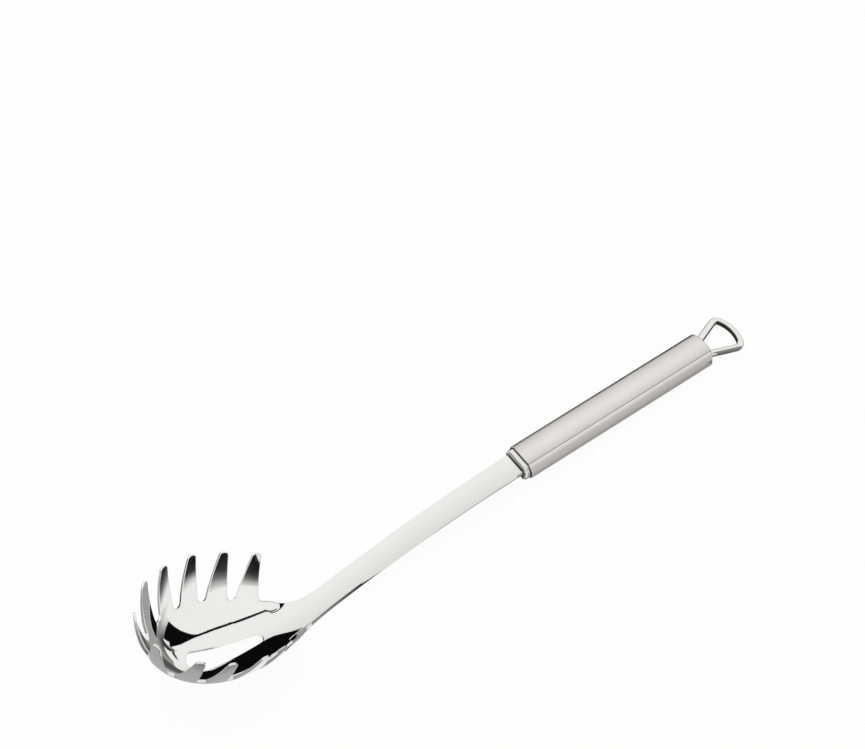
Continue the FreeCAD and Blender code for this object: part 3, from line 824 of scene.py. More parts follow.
    def slot_ring(self) -> np.ndarray:
        """Cut edge of the drain slot as a closed ring.

        Returns:
            One bowl-frame row per point.
        """
        taper = self.slot_front_radius - self.slot_rear_radius
        lean = math.asin(taper / (self.slot_front - self.slot_rear))
        front = np.linspace(math.pi / 2 + lean, -math.pi / 2 - lean, self.slot_front_points)
        rear = np.linspace(-math.pi / 2 - lean, -3.0 * math.pi / 2 + lean, self.slot_rear_points)
        arc_front = np.column_stack([self.slot_front + self.slot_front_radius * np.cos(front),
                                     self.slot_front_radius * np.sin(front)])
        arc_rear = np.column_stack([self.slot_rear + self.slot_rear_radius * np.cos(rear),
                                    self.slot_rear_radius * np.sin(rear)])
        share = np.linspace(0.0, 1.0, self.slot_side_points)[1:-1, None]
        near = arc_front[-1] * (1.0 - share) + arc_rear[0] * share
        far = arc_rear[-1] * (1.0 - share) + arc_front[0] * share
        return self.lift(np.vstack([arc_front, near, arc_rear, far]))

    def drawn_in(self, ring: np.ndarray, hole: bool) -> tuple[np.ndarray, np.ndarray, np.ndarray]:
        """Draw a cut edge into the sheet by the edge's rounding.

        Args:
            ring: bowl-frame points of the edge.
            hole: whether the ring goes round a hole.

        Returns:
            Places along, rolls, and the direction out of the sheet at each point.
        """
        along, roll = self.places_of(ring)
        normals = self.normal(along, roll)
        tangent = np.roll(ring, -1, axis=0) - np.roll(ring, 1, axis=0)
        out = np.cross(normals, tangent)
        out /= np.linalg.norm(out, axis=1, keepdims=True)
        area = 0.5 * np.sum(ring[:, 0] * np.roll(ring[:, 1], -1) - np.roll(ring[:, 0], -1) * ring[:, 1])
        if (area > 0.0) != hole:
            out = -out
        along, roll = self.places_of(ring - out * self.edge_round)
        return along, roll, out

    def flat_places(self, along: np.ndarray, roll: np.ndarray) -> np.ndarray:
        """Surface places as flat points for the triangulation."""
        return np.column_stack([along * self.reach, roll * self.half_span])

    @staticmethod
    def inside(points: np.ndarray, ring: np.ndarray) -> np.ndarray:
        """Which flat points lie inside a flat ring.

        Args:
            points: one row per flat point.
            ring: the ring's corners in order.

        Returns:
            One truth value per point.
        """
        result = np.zeros(len(points), bool)
        following = np.roll(ring, -1, axis=0)
        for (x0, y0), (x1, y1) in zip(ring, following):
            crosses = (y0 > points[:, 1]) != (y1 > points[:, 1])
            if y0 != y1:
                result ^= crosses & (points[:, 0] < (x1 - x0) * (points[:, 1] - y0) / (y1 - y0) + x0)
        return result

    def fill_points(self, outer: np.ndarray, inner: np.ndarray) -> np.ndarray:
        """Even points between the two rings, clear of both.

        Args:
            outer: flat points of the cut edge.
            inner: flat points of the slot's edge.

        Returns:
            One row per flat point.
        """
        low, high = outer.min(axis=0), outer.max(axis=0)
        step = self.grid_step
        columns = np.concatenate([np.arange(low[0], self.neck_station, 2.0 * step),
                                  np.arange(self.neck_station, high[0], step)])
        rows = np.arange(0.5 * step, high[1], step)
        rows = np.concatenate([-rows[::-1], rows])
        grid = np.array([(column, row) for column in columns for row in rows])
        grid = grid[self.inside(grid, outer) & ~self.inside(grid, inner)]
        rings = np.vstack([outer, inner])
        clear = np.array([np.min(np.sum((rings - point) ** 2, axis=1)) for point in grid])
        return grid[clear > (self.grid_clear_share * step) ** 2]

    def build(self, material: bpy.types.Material) -> bpy.types.Object:
        """Make the head.

        Args:
            material: its finish.

        Returns:
            The object.
        """
        outer_along, outer_roll, outer_out = self.drawn_in(self.outline(), False)
        slot_along, slot_roll, slot_out = self.drawn_in(self.slot_ring(), True)
        outer = self.flat_places(outer_along, outer_roll)
        inner = self.flat_places(slot_along, slot_roll)
        fill = self.fill_points(outer, inner)
        flat = np.vstack([outer, inner, fill])
        outer_count, inner_count = len(outer), len(inner)
        rings = [list(range(outer_count)), list(range(outer_count, outer_count + inner_count))]
        places, _edges, triangles, origin, *_rest = delaunay_2d_cdt(
            [Vector(point) for point in flat], [], rings, 1, self.weld, True)
        flat = np.array([tuple(point) for point in places])
        number = {source: index for index, sources in enumerate(origin) for source in sources}
        middles = np.array([flat[list(face)].mean(axis=0) for face in triangles])
        keep = self.inside(middles, outer) & ~self.inside(middles, inner)
        triangles = [face for face, kept in zip(triangles, keep) if kept]
        along, roll = flat[:, 0] / self.reach, flat[:, 1] / self.half_span
        upper = self.surface(along, roll)
        normals = self.normal(along, roll)
        draft = MeshDraft(self.pose)
        top = draft.add_points(self.to_handle(upper), self.turn_to_handle(normals))
        thick = self.thickness_at(along, upper[:, 2])
        lower = upper - normals * thick[:, None]
        low = draft.add_points(self.to_handle(lower), self.turn_to_handle(-normals))
        draft.add_faces([top[list(face)] for face in triangles])
        draft.add_faces([low[list(face)] for face in triangles])
        for ring, out in ((rings[0], outer_out), (rings[1], slot_out)):
            numbers = np.array([number[source] for source in ring])
            self.round_edge(draft, top[numbers], low[numbers], upper[numbers], normals[numbers], out,
                            thick[numbers])
        return draft.build("pressed_head", material)

    def round_edge(self, draft: MeshDraft, top: np.ndarray, low: np.ndarray, upper: np.ndarray,
                   normals: np.ndarray, out: np.ndarray, thick: np.ndarray) -> None:
        """Close the sheet along one cut edge with a rounded strip.

        Args:
            draft: the mesh.
            top: point numbers of the upper face's ring.
            low: point numbers of the lower face's ring.
            upper: the upper ring's bowl-frame points.
            normals: the upper ring's normals.
            out: the directions out of the sheet.
            thick: the sheet's thickness at each point.
        """
        out = out - normals * np.sum(out * normals, axis=1, keepdims=True)
        out /= np.linalg.norm(out, axis=1, keepdims=True)
        previous = top
        quarter = np.linspace(0.0, math.pi / 2, self.edge_steps + 1)
        turns = [*quarter[1:], *np.linspace(math.pi / 2, math.pi, self.edge_steps + 1)[:-1]]
        for step, turn in enumerate(turns):
            sink = np.full(len(thick), self.edge_round) if step < self.edge_steps else thick - self.edge_round
            facing = normals * math.cos(turn) + out * math.sin(turn)
            edge = upper - normals * sink[:, None] + facing * self.edge_round
            ring = draft.add_points(self.to_handle(edge), self.turn_to_handle(facing))
            draft.bridge(previous, ring)
            previous = ring
        draft.bridge(previous, low)


@dataclass
class HandleSection:
    """The handle's section: flat top and bottom, bulged sides and four slightly rounded corners."""

    half_flat: float = 6.3
    bulge: float = 3.2
    depth: float = 11.7
    corner_round: float = 0.55
    flat_points: int = 8
    corner_points: int = 6
    side_points: int = 14

    def ring(self, inset: float, corner: float) -> tuple[np.ndarray, np.ndarray]:
        """The section drawn inwards.

        Args:
            inset: how far inwards.
            corner: the rounding of the four corners.

        Returns:
            Points (y, z) and normals, going round once.
        """
        half_depth = 0.5 * self.depth
        radius = (half_depth ** 2 + self.bulge ** 2) / (2.0 * self.bulge)
        centre = self.half_flat + self.bulge - radius
        radius -= inset
        half_depth -= inset
        corner_y = centre + math.sqrt((radius - corner) ** 2 - (half_depth - corner) ** 2)
        corner_z = half_depth - corner
        end_turn = math.atan2(corner_y - centre, corner_z)
        points: list[tuple[float, float]] = []
        normals: list[tuple[float, float]] = []
        for share in np.linspace(0.0, 1.0, self.flat_points):
            points.append((corner_y * share, half_depth))
            normals.append((0.0, 1.0))
        for turn in np.linspace(0.0, end_turn, self.corner_points)[1:]:
            points.append((corner_y + corner * math.sin(turn), corner_z + corner * math.cos(turn)))
            normals.append((math.sin(turn), math.cos(turn)))
        for turn in np.linspace(end_turn, 0.5 * math.pi, self.side_points)[1:]:
            points.append((centre + radius * math.sin(turn), radius * math.cos(turn)))
            normals.append((math.sin(turn), math.cos(turn)))
        quarter_points, quarter_normals = np.array(points), np.array(normals)
        under = np.array([1.0, -1.0])
        half_points = np.vstack([quarter_points, quarter_points[:-1][::-1] * under])
        half_normals = np.vstack([quarter_normals, quarter_normals[:-1][::-1] * under])
        mirror = np.array([-1.0, 1.0])
        ring_points = np.vstack([half_points, half_points[1:-1][::-1] * mirror])
        ring_normals = np.vstack([half_normals, half_normals[1:-1][::-1] * mirror])
        ring_points[:, 1] -= 0.5 * self.depth
        return ring_points, ring_normals


@dataclass(frozen=True)
class ShellRing:
    """One ring of the handle's shell.

    It is the handle's section drawn inwards by inset, with its corners rounded, at a share of the shell's
    length, pushed along X, with its normals tilted along X. An inner ring faces the bore.
    """

    inset: float
    corner: float
    share: float
    push: float = 0.0
    tilt: float = 0.0
    inner: bool = False


@dataclass
class HandleShell:
    """The hollow handle with its straight front end and convex rear end."""

    pose: RestPose
    section: HandleSection
    length: float = 116.0
    front: float = 0.6
    wall: float = 1.0
    end_radius: float = 22.0
    end_round: float = 0.3
    end_points: int = 4
    bore_corner: float = 0.2
    bore_edge: float = 0.02
    rings: int = 24

    def rear_line(self, across: np.ndarray) -> np.ndarray:
        """Where the convex rear end lies at a place across."""
        return self.length - self.end_radius + np.sqrt(self.end_radius ** 2 - across ** 2)

    def end_ring(self, turn: float, share: float) -> ShellRing:
        """One ring of the rounded edge at the front end or the rear end.

        Args:
            turn: how far the edge has turned from the side to the end's face.
            share: 0 at the front, 1 at the rear.

        Returns:
            The ring.
        """
        facing = 2.0 * share - 1.0
        return ShellRing(self.end_round * (1.0 - math.cos(turn)), self.section.corner_round, share,
                         -facing * self.end_round * (1.0 - math.sin(turn)), facing * turn)

    def ring_list(self) -> list[ShellRing]:
        """The rings from the front end along the outside to the rear end and back through the bore.

        Returns:
            The rings in order.
        """
        bend = np.linspace(0.0, math.pi / 2, self.end_points)
        edge_inset = self.wall - self.bore_edge
        made = [self.end_ring(turn, 0.0) for turn in bend[::-1]]
        for share in np.linspace(0.0, 1.0, self.rings)[1:-1]:
            made.append(ShellRing(0.0, self.section.corner_round, float(share)))
        made += [self.end_ring(turn, 1.0) for turn in bend]
        made.append(ShellRing(edge_inset, self.bore_corner, 1.0, 0.0, math.pi / 2))
        made.append(ShellRing(self.wall, self.bore_corner, 1.0, -self.bore_edge, 0.0, True))
        made.append(ShellRing(self.wall, self.bore_corner, 0.0, self.bore_edge, 0.0, True))
        made.append(ShellRing(edge_inset, self.bore_corner, 0.0, 0.0, -math.pi / 2))
        return made

    def build(self, material: bpy.types.Material) -> bpy.types.Object:
        """Make the shell as a closed tube.

        Args:
            material: its finish.

        Returns:
            The object.
        """
        draft = MeshDraft(self.pose)
        rows: list[np.ndarray] = []
        for ring in self.ring_list():
            points, normals = self.section.ring(ring.inset, ring.corner)
            rear = self.rear_line(points[:, 0])
            x = self.front * (1.0 - ring.share) + rear * ring.share + ring.push
            facing = normals * (-1.0 if ring.inner else 1.0) * math.cos(ring.tilt)
            lengthwise = np.full(len(x), math.sin(ring.tilt))
            rows.append(draft.add_points(np.column_stack([x, points]), np.column_stack([lengthwise, facing])))
        for first, second in zip(rows, rows[1:] + rows[:1]):
            draft.bridge(first, second)
        return draft.build("handle_shell", material)


@dataclass
class HangingLoop:
    """The round wire loop: two splayed legs, two corners and a bowed end bar."""

    pose: RestPose
    handle_length: float = TUBE_LENGTH
    level: float = -5.85
    wire: float = 3.7
    reach: float = 19.6
    leg_gap: float = 2.4
    leg_insert: float = 3.0
    splay: float = math.radians(21.5)
    bar_radius: float = 20.0
    corner_radius: float = 3.2
    sides: int = 36
    leg_points: int = 10
    corner_points: int = 14
    bar_points: int = 16

    def half_route(self) -> tuple[np.ndarray, np.ndarray]:
        """Middle line of the far half, from the leg's inner end to the bar's middle.

        Returns:
            Plan points and the plan direction at each point.
        """
        start = np.array([self.handle_length - self.leg_insert, 0.5 * (self.wire + self.leg_gap)])
        line = np.array([math.cos(self.splay), math.sin(self.splay)])
        square = np.array([math.sin(self.splay), -math.cos(self.splay)])
        bar_centre = np.array([self.handle_length + self.reach - self.bar_radius, 0.0])
        inner = start + square * self.corner_radius - bar_centre
        along = float(inner @ line)
        bend_radius = self.bar_radius - self.corner_radius
        run = -along + math.sqrt(along ** 2 - float(inner @ inner) + bend_radius ** 2)
        corner = bar_centre + inner + line * run
        bar_turn = math.atan2(corner[1], corner[0] - bar_centre[0])
        points, directions = [], []
        for share in np.linspace(0.0, 1.0, self.leg_points):
            points.append(start + line * run * share)
            directions.append(line)
        for turn in np.linspace(math.pi / 2 + self.splay, bar_turn, self.corner_points)[1:]:
            points.append(corner + self.corner_radius * np.array([math.cos(turn), math.sin(turn)]))
            directions.append(np.array([math.sin(turn), -math.cos(turn)]))
        for turn in np.linspace(bar_turn, 0.0, self.bar_points)[1:]:
            points.append(bar_centre + self.bar_radius * np.array([math.cos(turn), math.sin(turn)]))
            directions.append(np.array([math.sin(turn), -math.cos(turn)]))
        return np.array(points), np.array(directions)

    def build(self, material: bpy.types.Material) -> bpy.types.Object:
        """Sweep the wire.

        Args:
            material: its finish.

        Returns:
            The object.
        """
        points, directions = self.half_route()
        points = np.vstack([points, points[:-1][::-1] * np.array([1.0, -1.0])])
        directions = np.vstack([directions, directions[:-1][::-1] * np.array([-1.0, 1.0])])
        draft = MeshDraft(self.pose)
        turns = np.linspace(0.0, 2.0 * math.pi, self.sides, endpoint=False)
        rows = []
        for point, direction in zip(points, directions):
            side = np.array([-direction[1], direction[0], 0.0])
            facing = np.outer(np.cos(turns), side) + np.outer(np.sin(turns), (0.0, 0.0, 1.0))
            centre = np.array([point[0], point[1], self.level])
            rows.append(draft.add_points(centre + 0.5 * self.wire * facing, facing))
        for first, second in zip(rows, rows[1:]):
            draft.bridge(first, second)
        draft.add_faces([rows[0], rows[-1]])
        return draft.build("wire_loop", material)


@dataclass
class PhotoCamera:
    """The camera at the photograph's place, held in the handle's frame."""

    pose: RestPose
    place: Triple = (-305.84, -435.81, 823.04)
    right: Triple = (0.81903, -0.57156, -0.05020)
    down: Triple = (-0.49091, -0.65279, -0.57695)
    ahead: Triple = (0.29699, 0.49718, -0.81524)
    focal_pixels: float = 2000.0
    image_width: float = 865.0
    sensor: float = 36.0
    near_clip: float = 0.01
    far_clip: float = 50.0

    def build(self) -> bpy.types.Object:
        """Make the camera and give it to the scene.

        Returns:
            The camera object.
        """
        data = bpy.data.cameras.new("photo_camera")
        data.sensor_fit = "HORIZONTAL"
        data.sensor_width = self.sensor
        data.lens = self.focal_pixels * self.sensor / self.image_width
        data.clip_start = self.near_clip
        data.clip_end = self.far_clip
        made = link_object("photo_camera", data)
        axes = self.pose.directions(np.array([self.right, [-value for value in self.down],
                                              [-value for value in self.ahead]]))
        world = Matrix.Identity(4)
        for column in range(3):
            for row in range(3):
                world[row][column] = float(axes[column][row])
        place = self.pose.points(np.array([self.place]))[0]
        for row in range(3):
            world[row][3] = float(place[row])
        made.matrix_world = world
        bpy.context.scene.camera = made
        return made


# Height of a card that lies on the floor.
CARD_LIFT = 0.0006
# Cover along a faded card, from its dark end to its clear one.
FADE = (1.0, 0.96, 0.8, 0.5, 0.25, 0.08, 0.0)


@dataclass(frozen=True)
class DarkCard:
    """A dark card that only the steel mirrors: a painted dark reflection, in place of a studio flag.

    Each column is a run of spots: x, y and z in metres, and a cover from 0 to 1. Neighbouring columns are
    joined, and the cover changes evenly from spot to spot. A one-sided card is clear from behind.
    """

    name: str
    columns: Columns
    one_sided: bool = False

    def build(self, material: bpy.types.Material) -> bpy.types.Object:
        """Make the card.

        Args:
            material: the cards' common material, which reads the cover.

        Returns:
            The card, which the camera and shadows leave out.
        """
        rows = len(self.columns[0])
        spots = [spot for column in self.columns for spot in column]
        faces = []
        for start in range(0, len(spots) - rows, rows):
            faces += [(at, at + rows, at + rows + 1, at + 1) for at in range(start, start + rows - 1)]
        mesh = bpy.data.meshes.new(self.name)
        mesh.from_pydata([spot[:3] for spot in spots], [], faces)
        layer = mesh.attributes.new("cover", "FLOAT", "POINT")
        layer.data.foreach_set("value", [spot[3] for spot in spots])
        sided = mesh.attributes.new("sided", "FLOAT", "POINT")
        sided.data.foreach_set("value", [float(self.one_sided)] * len(spots))
        mesh.materials.append(material)
        made = link_object(self.name, mesh)
        made.visible_camera = False
        made.visible_diffuse = False
        made.visible_shadow = False
        made.visible_transmission = False
        made.visible_volume_scatter = False
        return made


def dome_line(edges: Sequence[tuple], centre: Triple = (-0.147, 0.005, 0.02),
              distance: float = 0.9) -> Columns:
    """Card columns on a dome around a point of the object.

    Args:
        edges: for each column its azimuth in degrees, then pairs of elevation and cover.
        centre: the dome's middle.
        distance: the dome's radius.

    Returns:
        The columns.
    """
    made = []
    for azimuth, *stops in edges:
        turn = math.radians(azimuth)
        column = []
        for elevation, cover in stops:
            rise = math.radians(elevation)
            column.append((centre[0] + distance * math.cos(rise) * math.cos(turn),
                           centre[1] + distance * math.cos(rise) * math.sin(turn),
                           centre[2] + distance * math.sin(rise), cover))
        made.append(tuple(column))
    return tuple(made)


def column_at(x: float, *stops: Pair) -> list[Triple]:
    """One column of a floor card at one x, from pairs of y and cover."""
    return [(x, y, cover) for y, cover in stops]


def on_floor(rows: Sequence[Sequence[Triple]], lift: float = CARD_LIFT) -> Columns:
    """Card columns just above the floor, from columns of x, y and cover."""
    return tuple(tuple((x, y, lift, cover) for x, y, cover in column) for column in rows)


def faded(rows: Sequence[Sequence[Pair]]) -> Columns:
    """Card columns just above the floor whose cover follows FADE from spot to spot."""
    return on_floor([[(x, y, cover) for (x, y), cover in zip(column, FADE)] for column in rows])


def upright(x: float, edges: Sequence[Triple]) -> Columns:
    """Card columns standing across the object at one x, from y, lower z and upper z."""
    return tuple(((x, y, high, 1.0), (x, y, low, 1.0)) for y, low, high in edges)


def standing(feet: Sequence[Pair], stops: Sequence[Pair]) -> Columns:
    """Card columns standing on feet at x and y, all with the same pairs of z and cover."""
    return tuple(tuple((x, y, z, cover) for z, cover in stops) for x, y in feet)


def sheared(starts: Sequence[float], slope: float, stops: Sequence[Pair], straight: float = 0.008) -> Columns:
    """Card columns just above the floor that lean to the rear as they leave the object.

    Args:
        starts: each column's x beside the object.
        slope: how far x goes back per metre away from the object.
        stops: pairs of y and cover.
        straight: how far from the middle line a column runs before it leans.

    Returns:
        The columns.
    """
    side = 1.0 if stops[-1][0] > 0 else -1.0
    leans = [slope * max(0.0, side * y - straight) for y, _cover in stops]
    return on_floor([[(x + lean, y, cover) for lean, (y, cover) in zip(leans, stops)] for x in starts])


# The cards, named for what mirrors them or where they stand, in metres of the imported frame.
# They paint dark reflections into the steel; those on the floor paint shade into the floor as the steel mirrors
# it.
CARDS = (
    DarkCard("hook_card", upright(-0.0625, (
        (-0.0985, 0.0939, 0.1014), (-0.0895, 0.0899, 0.0972), (-0.0838, 0.0871, 0.0940),
        (-0.0785, 0.0842, 0.0915), (-0.0735, 0.0812, 0.0888), (-0.0690, 0.0785, 0.0860),
        (-0.0645, 0.0758, 0.0830), (-0.0605, 0.0730, 0.0805), (-0.0567, 0.0709, 0.0776),
        (-0.0533, 0.0684, 0.0754), (-0.0500, 0.0659, 0.0734), (-0.0470, 0.0634, 0.0711),
        (-0.0450, 0.0609, 0.0696), (-0.0449, 0.0006, 0.0689), (-0.0420, 0.0006, 0.0665),
        (-0.0390, 0.0006, 0.0640), (-0.0360, 0.0006, 0.0600), (-0.0300, 0.0006, 0.0525),
        (-0.0250, 0.0006, 0.0465), (-0.0200, 0.0006, 0.0410), (-0.0150, 0.0006, 0.0350),
        (-0.0115, 0.0006, 0.0294), (-0.0114, 0.0130, 0.0292), (-0.0050, 0.0130, 0.0190),
        (-0.0015, 0.0130, 0.0135))), True),
    DarkCard("line_card", dome_line(tuple(
        (azimuth, (high, 1.0), (low, 1.0)) for azimuth, high, low in (
            (-79.0, 26.6, 24.8), (-77.0, 29.3, 27.4), (-75.0, 31.0, 28.4), (-72.0, 33.0, 30.0),
            (-67.0, 34.6, 31.6), (-65.0, 35.2, 32.1), (-60.0, 35.9, 32.6), (-55.5, 35.8, 32.4))))),
    DarkCard("left_low_card", dome_line(tuple(
        (azimuth, (10.0, 0.0), (8.0, 0.62), (-1.2, 0.62))
        for azimuth in (-106.0, -130.0, -155.0, -180.0, -212.0)))),
    DarkCard("teeth_floor_card", faded((
        ((-0.1079, -0.0015), (-0.1042, -0.0060), (-0.1022, -0.0107), (-0.1003, -0.0135),
         (-0.0987, -0.0151), (-0.0972, -0.0164), (-0.0944, -0.0183)),
        ((-0.1141, -0.0065), (-0.1104, -0.0110), (-0.1084, -0.0157), (-0.1065, -0.0185),
         (-0.1049, -0.0201), (-0.1034, -0.0214), (-0.1006, -0.0233)),
        ((-0.1060, -0.0360), (-0.0992, -0.0400), (-0.0975, -0.0440), (-0.0945, -0.0500),
         (-0.0910, -0.0540), (-0.0870, -0.0595), (-0.0820, -0.0660)),
        ((-0.1080, -0.0550), (-0.1010, -0.0560), (-0.0990, -0.0605), (-0.0967, -0.0667),
         (-0.0938, -0.0705), (-0.0901, -0.0780), (-0.0855, -0.0860)),
        ((-0.1100, -0.0720), (-0.1035, -0.0700), (-0.1018, -0.0755), (-0.0995, -0.0830),
         (-0.0968, -0.0900), (-0.0935, -0.0990), (-0.0895, -0.1090)),
        ((-0.1150, -0.0850), (-0.1130, -0.1250), (-0.1010, -0.1900), (-0.0800, -0.3000),
         (-0.0200, -0.5500), (0.2500, -1.4000), (0.7000, -2.2000)),
        ((-0.1220, -0.0750), (-0.1230, -0.1500), (-0.1190, -0.2250), (-0.1120, -0.3500),
         (-0.1000, -0.7800), (0.0000, -1.9000), (0.2000, -2.9000)),
        ((-0.1370, -0.0800), (-0.1370, -0.1400), (-0.1390, -0.2150), (-0.1450, -0.3400),
         (-0.1650, -0.8500), (-0.2500, -1.9000), (-0.3000, -2.9000))))),
    DarkCard("near_wall_card", tuple(((x, 0.0035, CARD_LIFT, 1.0), (x, 0.0035, top, 1.0)) for x, top in (
        (-0.1500, 0.0200), (-0.1380, 0.0166), (-0.1300, 0.0140), (-0.1220, 0.0114), (-0.1150, 0.0097),
        (-0.1100, 0.0083), (-0.1070, 0.0068), (-0.1030, 0.0048), (-0.0980, 0.0022),
        (-0.0955, 0.0008))), True),
    DarkCard("near_floor_card", tuple(((x, low, CARD_LIFT, 1.0), (x, 0.0040, CARD_LIFT, 1.0)) for x, low in (
        (-0.1185, 0.0005), (-0.1130, -0.0010), (-0.1080, -0.0045), (-0.1030, -0.0068), (-0.0985, -0.0075),
        (-0.0955, -0.0070), (-0.0935, -0.0062)))),
    DarkCard("left_floor_card", on_floor(tuple(
        tuple((x, y, cover) for y, cover in ((0.036, far), (0.027, far), (0.020, 0.6), (0.0045, 0.6)))
        for x, far in ((-0.145, 0.9), (-0.106, 0.9), (-0.093, 0.6))))),
    DarkCard("front_grey_card", on_floor((
        ((-0.0930, 0.0380, 0.6), (-0.0930, 0.0100, 0.6), (-0.0930, -0.0040, 0.7), (-0.0930, -0.0150, 0.55),
         (-0.0950, -0.0260, 0.15), (-0.0950, -0.0320, 0.0)),
        column_at(-0.0780, (0.0380, 0.7), (0.0100, 0.8), (-0.0040, 0.88), (-0.0170, 0.6), (-0.0280, 0.2),
                  (-0.0360, 0.0)),
        column_at(-0.0630, (0.0380, 0.7), (0.0100, 0.9), (-0.0050, 1.0), (-0.0200, 0.8), (-0.0330, 0.5),
                  (-0.0440, 0.3))))),
    DarkCard("under_bowl_card", on_floor((
        column_at(-0.7500, (0.2500, 0.5), (-0.0300, 0.5), (-0.0500, 0.5), (-0.0750, 0.5), (-0.0950, 0.5),
                  (-0.1250, 0.35), (-0.1450, 0.0)),
        column_at(-0.2600, (0.1200, 0.5), (-0.0300, 0.5), (-0.0500, 0.8), (-0.0750, 0.75), (-0.0950, 0.65),
                  (-0.1250, 0.35), (-0.1450, 0.0)),
        column_at(-0.1550, (0.0800, 0.5), (-0.0300, 0.5), (-0.0500, 0.8), (-0.0750, 0.75), (-0.0950, 0.65),
                  (-0.1250, 0.35), (-0.1450, 0.0)),
        column_at(-0.1400, (0.0700, 0.5), (-0.0300, 0.5), (-0.0500, 0.6), (-0.0600, 0.6), (-0.0680, 0.5),
                  (-0.0740, 0.3), (-0.0800, 0.0))))),
    DarkCard("flank_card", tuple(tuple((x, 0.08, z, cover) for z, cover in (
        (CARD_LIFT, 0.5), (0.0100, 0.6), (0.0160, top), (0.0500, top))) for x, top in (
            (-0.1280, 0.92), (-0.1800, 0.92), (-0.2050, 0.75), (-0.2700, 0.75)))),
    DarkCard("shank_floor_card", on_floor((
        column_at(-0.0631, (-0.0090, 0.0), (-0.0086, 0.97), (-0.0060, 0.97), (-0.0030, 0.97),
                  (0.0030, 0.97)),
        column_at(-0.0490, (-0.0090, 0.0), (-0.0086, 0.8), (-0.0060, 0.8), (-0.0030, 0.97), (0.0060, 0.97)),
        column_at(-0.0110, (-0.0113, 0.0), (-0.0109, 0.55), (-0.0060, 0.55), (-0.0030, 0.97),
                  (0.0100, 0.97)),
        column_at(0.0200, (-0.0120, 0.0), (-0.0116, 0.55), (-0.0060, 0.55), (-0.0030, 0.97), (0.0100, 0.97)),
        column_at(0.0360, (-0.0117, 0.0), (-0.0113, 0.6), (-0.0060, 0.6), (-0.0030, 0.9), (0.0100, 0.9))))),
    DarkCard("handle_floor_card", sheared((0.030, 0.045, 0.080, 0.120, 0.160), 0.42, (
        (0.0060, 0.85), (-0.0060, 0.80), (-0.0080, 0.72), (-0.0110, 0.60), (-0.0140, 0.58),
        (-0.0184, 0.485), (-0.0240, 0.42), (-0.0400, 0.39), (-0.0700, 0.38), (-0.1000, 0.36)))),
    DarkCard("handle_low_card", standing(((0.06, -0.1), (0.15, -0.1), (0.30, -0.1)), (
        (CARD_LIFT, 0.36), (0.0200, 0.37), (0.0420, 0.25), (0.0700, 0.1), (0.0950, 0.0)))),
    DarkCard("handle_far_card", sheared((0.022, 0.080, 0.120, 0.172), 0.5, (
        (0.0100, 0.95), (0.0175, 0.95), (0.0400, 0.95), (0.0600, 0.9), (0.0750, 0.3), (0.0900, 0.0)))),
    DarkCard("loop_near_card", standing(((0.1525, -0.0115), (0.1720, -0.0170)), (
        (CARD_LIFT, 0.66), (0.0120, 0.66), (0.0165, 0.76), (0.0300, 0.87)))),
    DarkCard("loop_floor_card", on_floor((
        column_at(0.1570, (-0.0060, 0.9), (0.0090, 0.9)),
        column_at(0.1760, (-0.0080, 0.9), (0.0110, 0.9))))),
    DarkCard("loop_outer_card", on_floor((
        column_at(0.1500, (-0.0220, 0.55), (0.0340, 0.55)),
        column_at(0.1950, (-0.0220, 0.55), (0.0340, 0.55))), lift=0.0005)),
    DarkCard("loop_front_card", standing(((0.1590, -0.0110), (0.1635, 0.0), (0.1590, 0.0110)), (
        (CARD_LIFT, 0.94), (0.0215, 0.94))), True),
    DarkCard("collar_front_card", standing(((0.0240, -0.025), (0.0240, 0.025)), (
        (CARD_LIFT, 0.7), (0.0150, 0.6), (0.0190, 0.5), (0.0250, 0.6), (0.0330, 0.75),
        (0.0500, 0.75))), True),
)


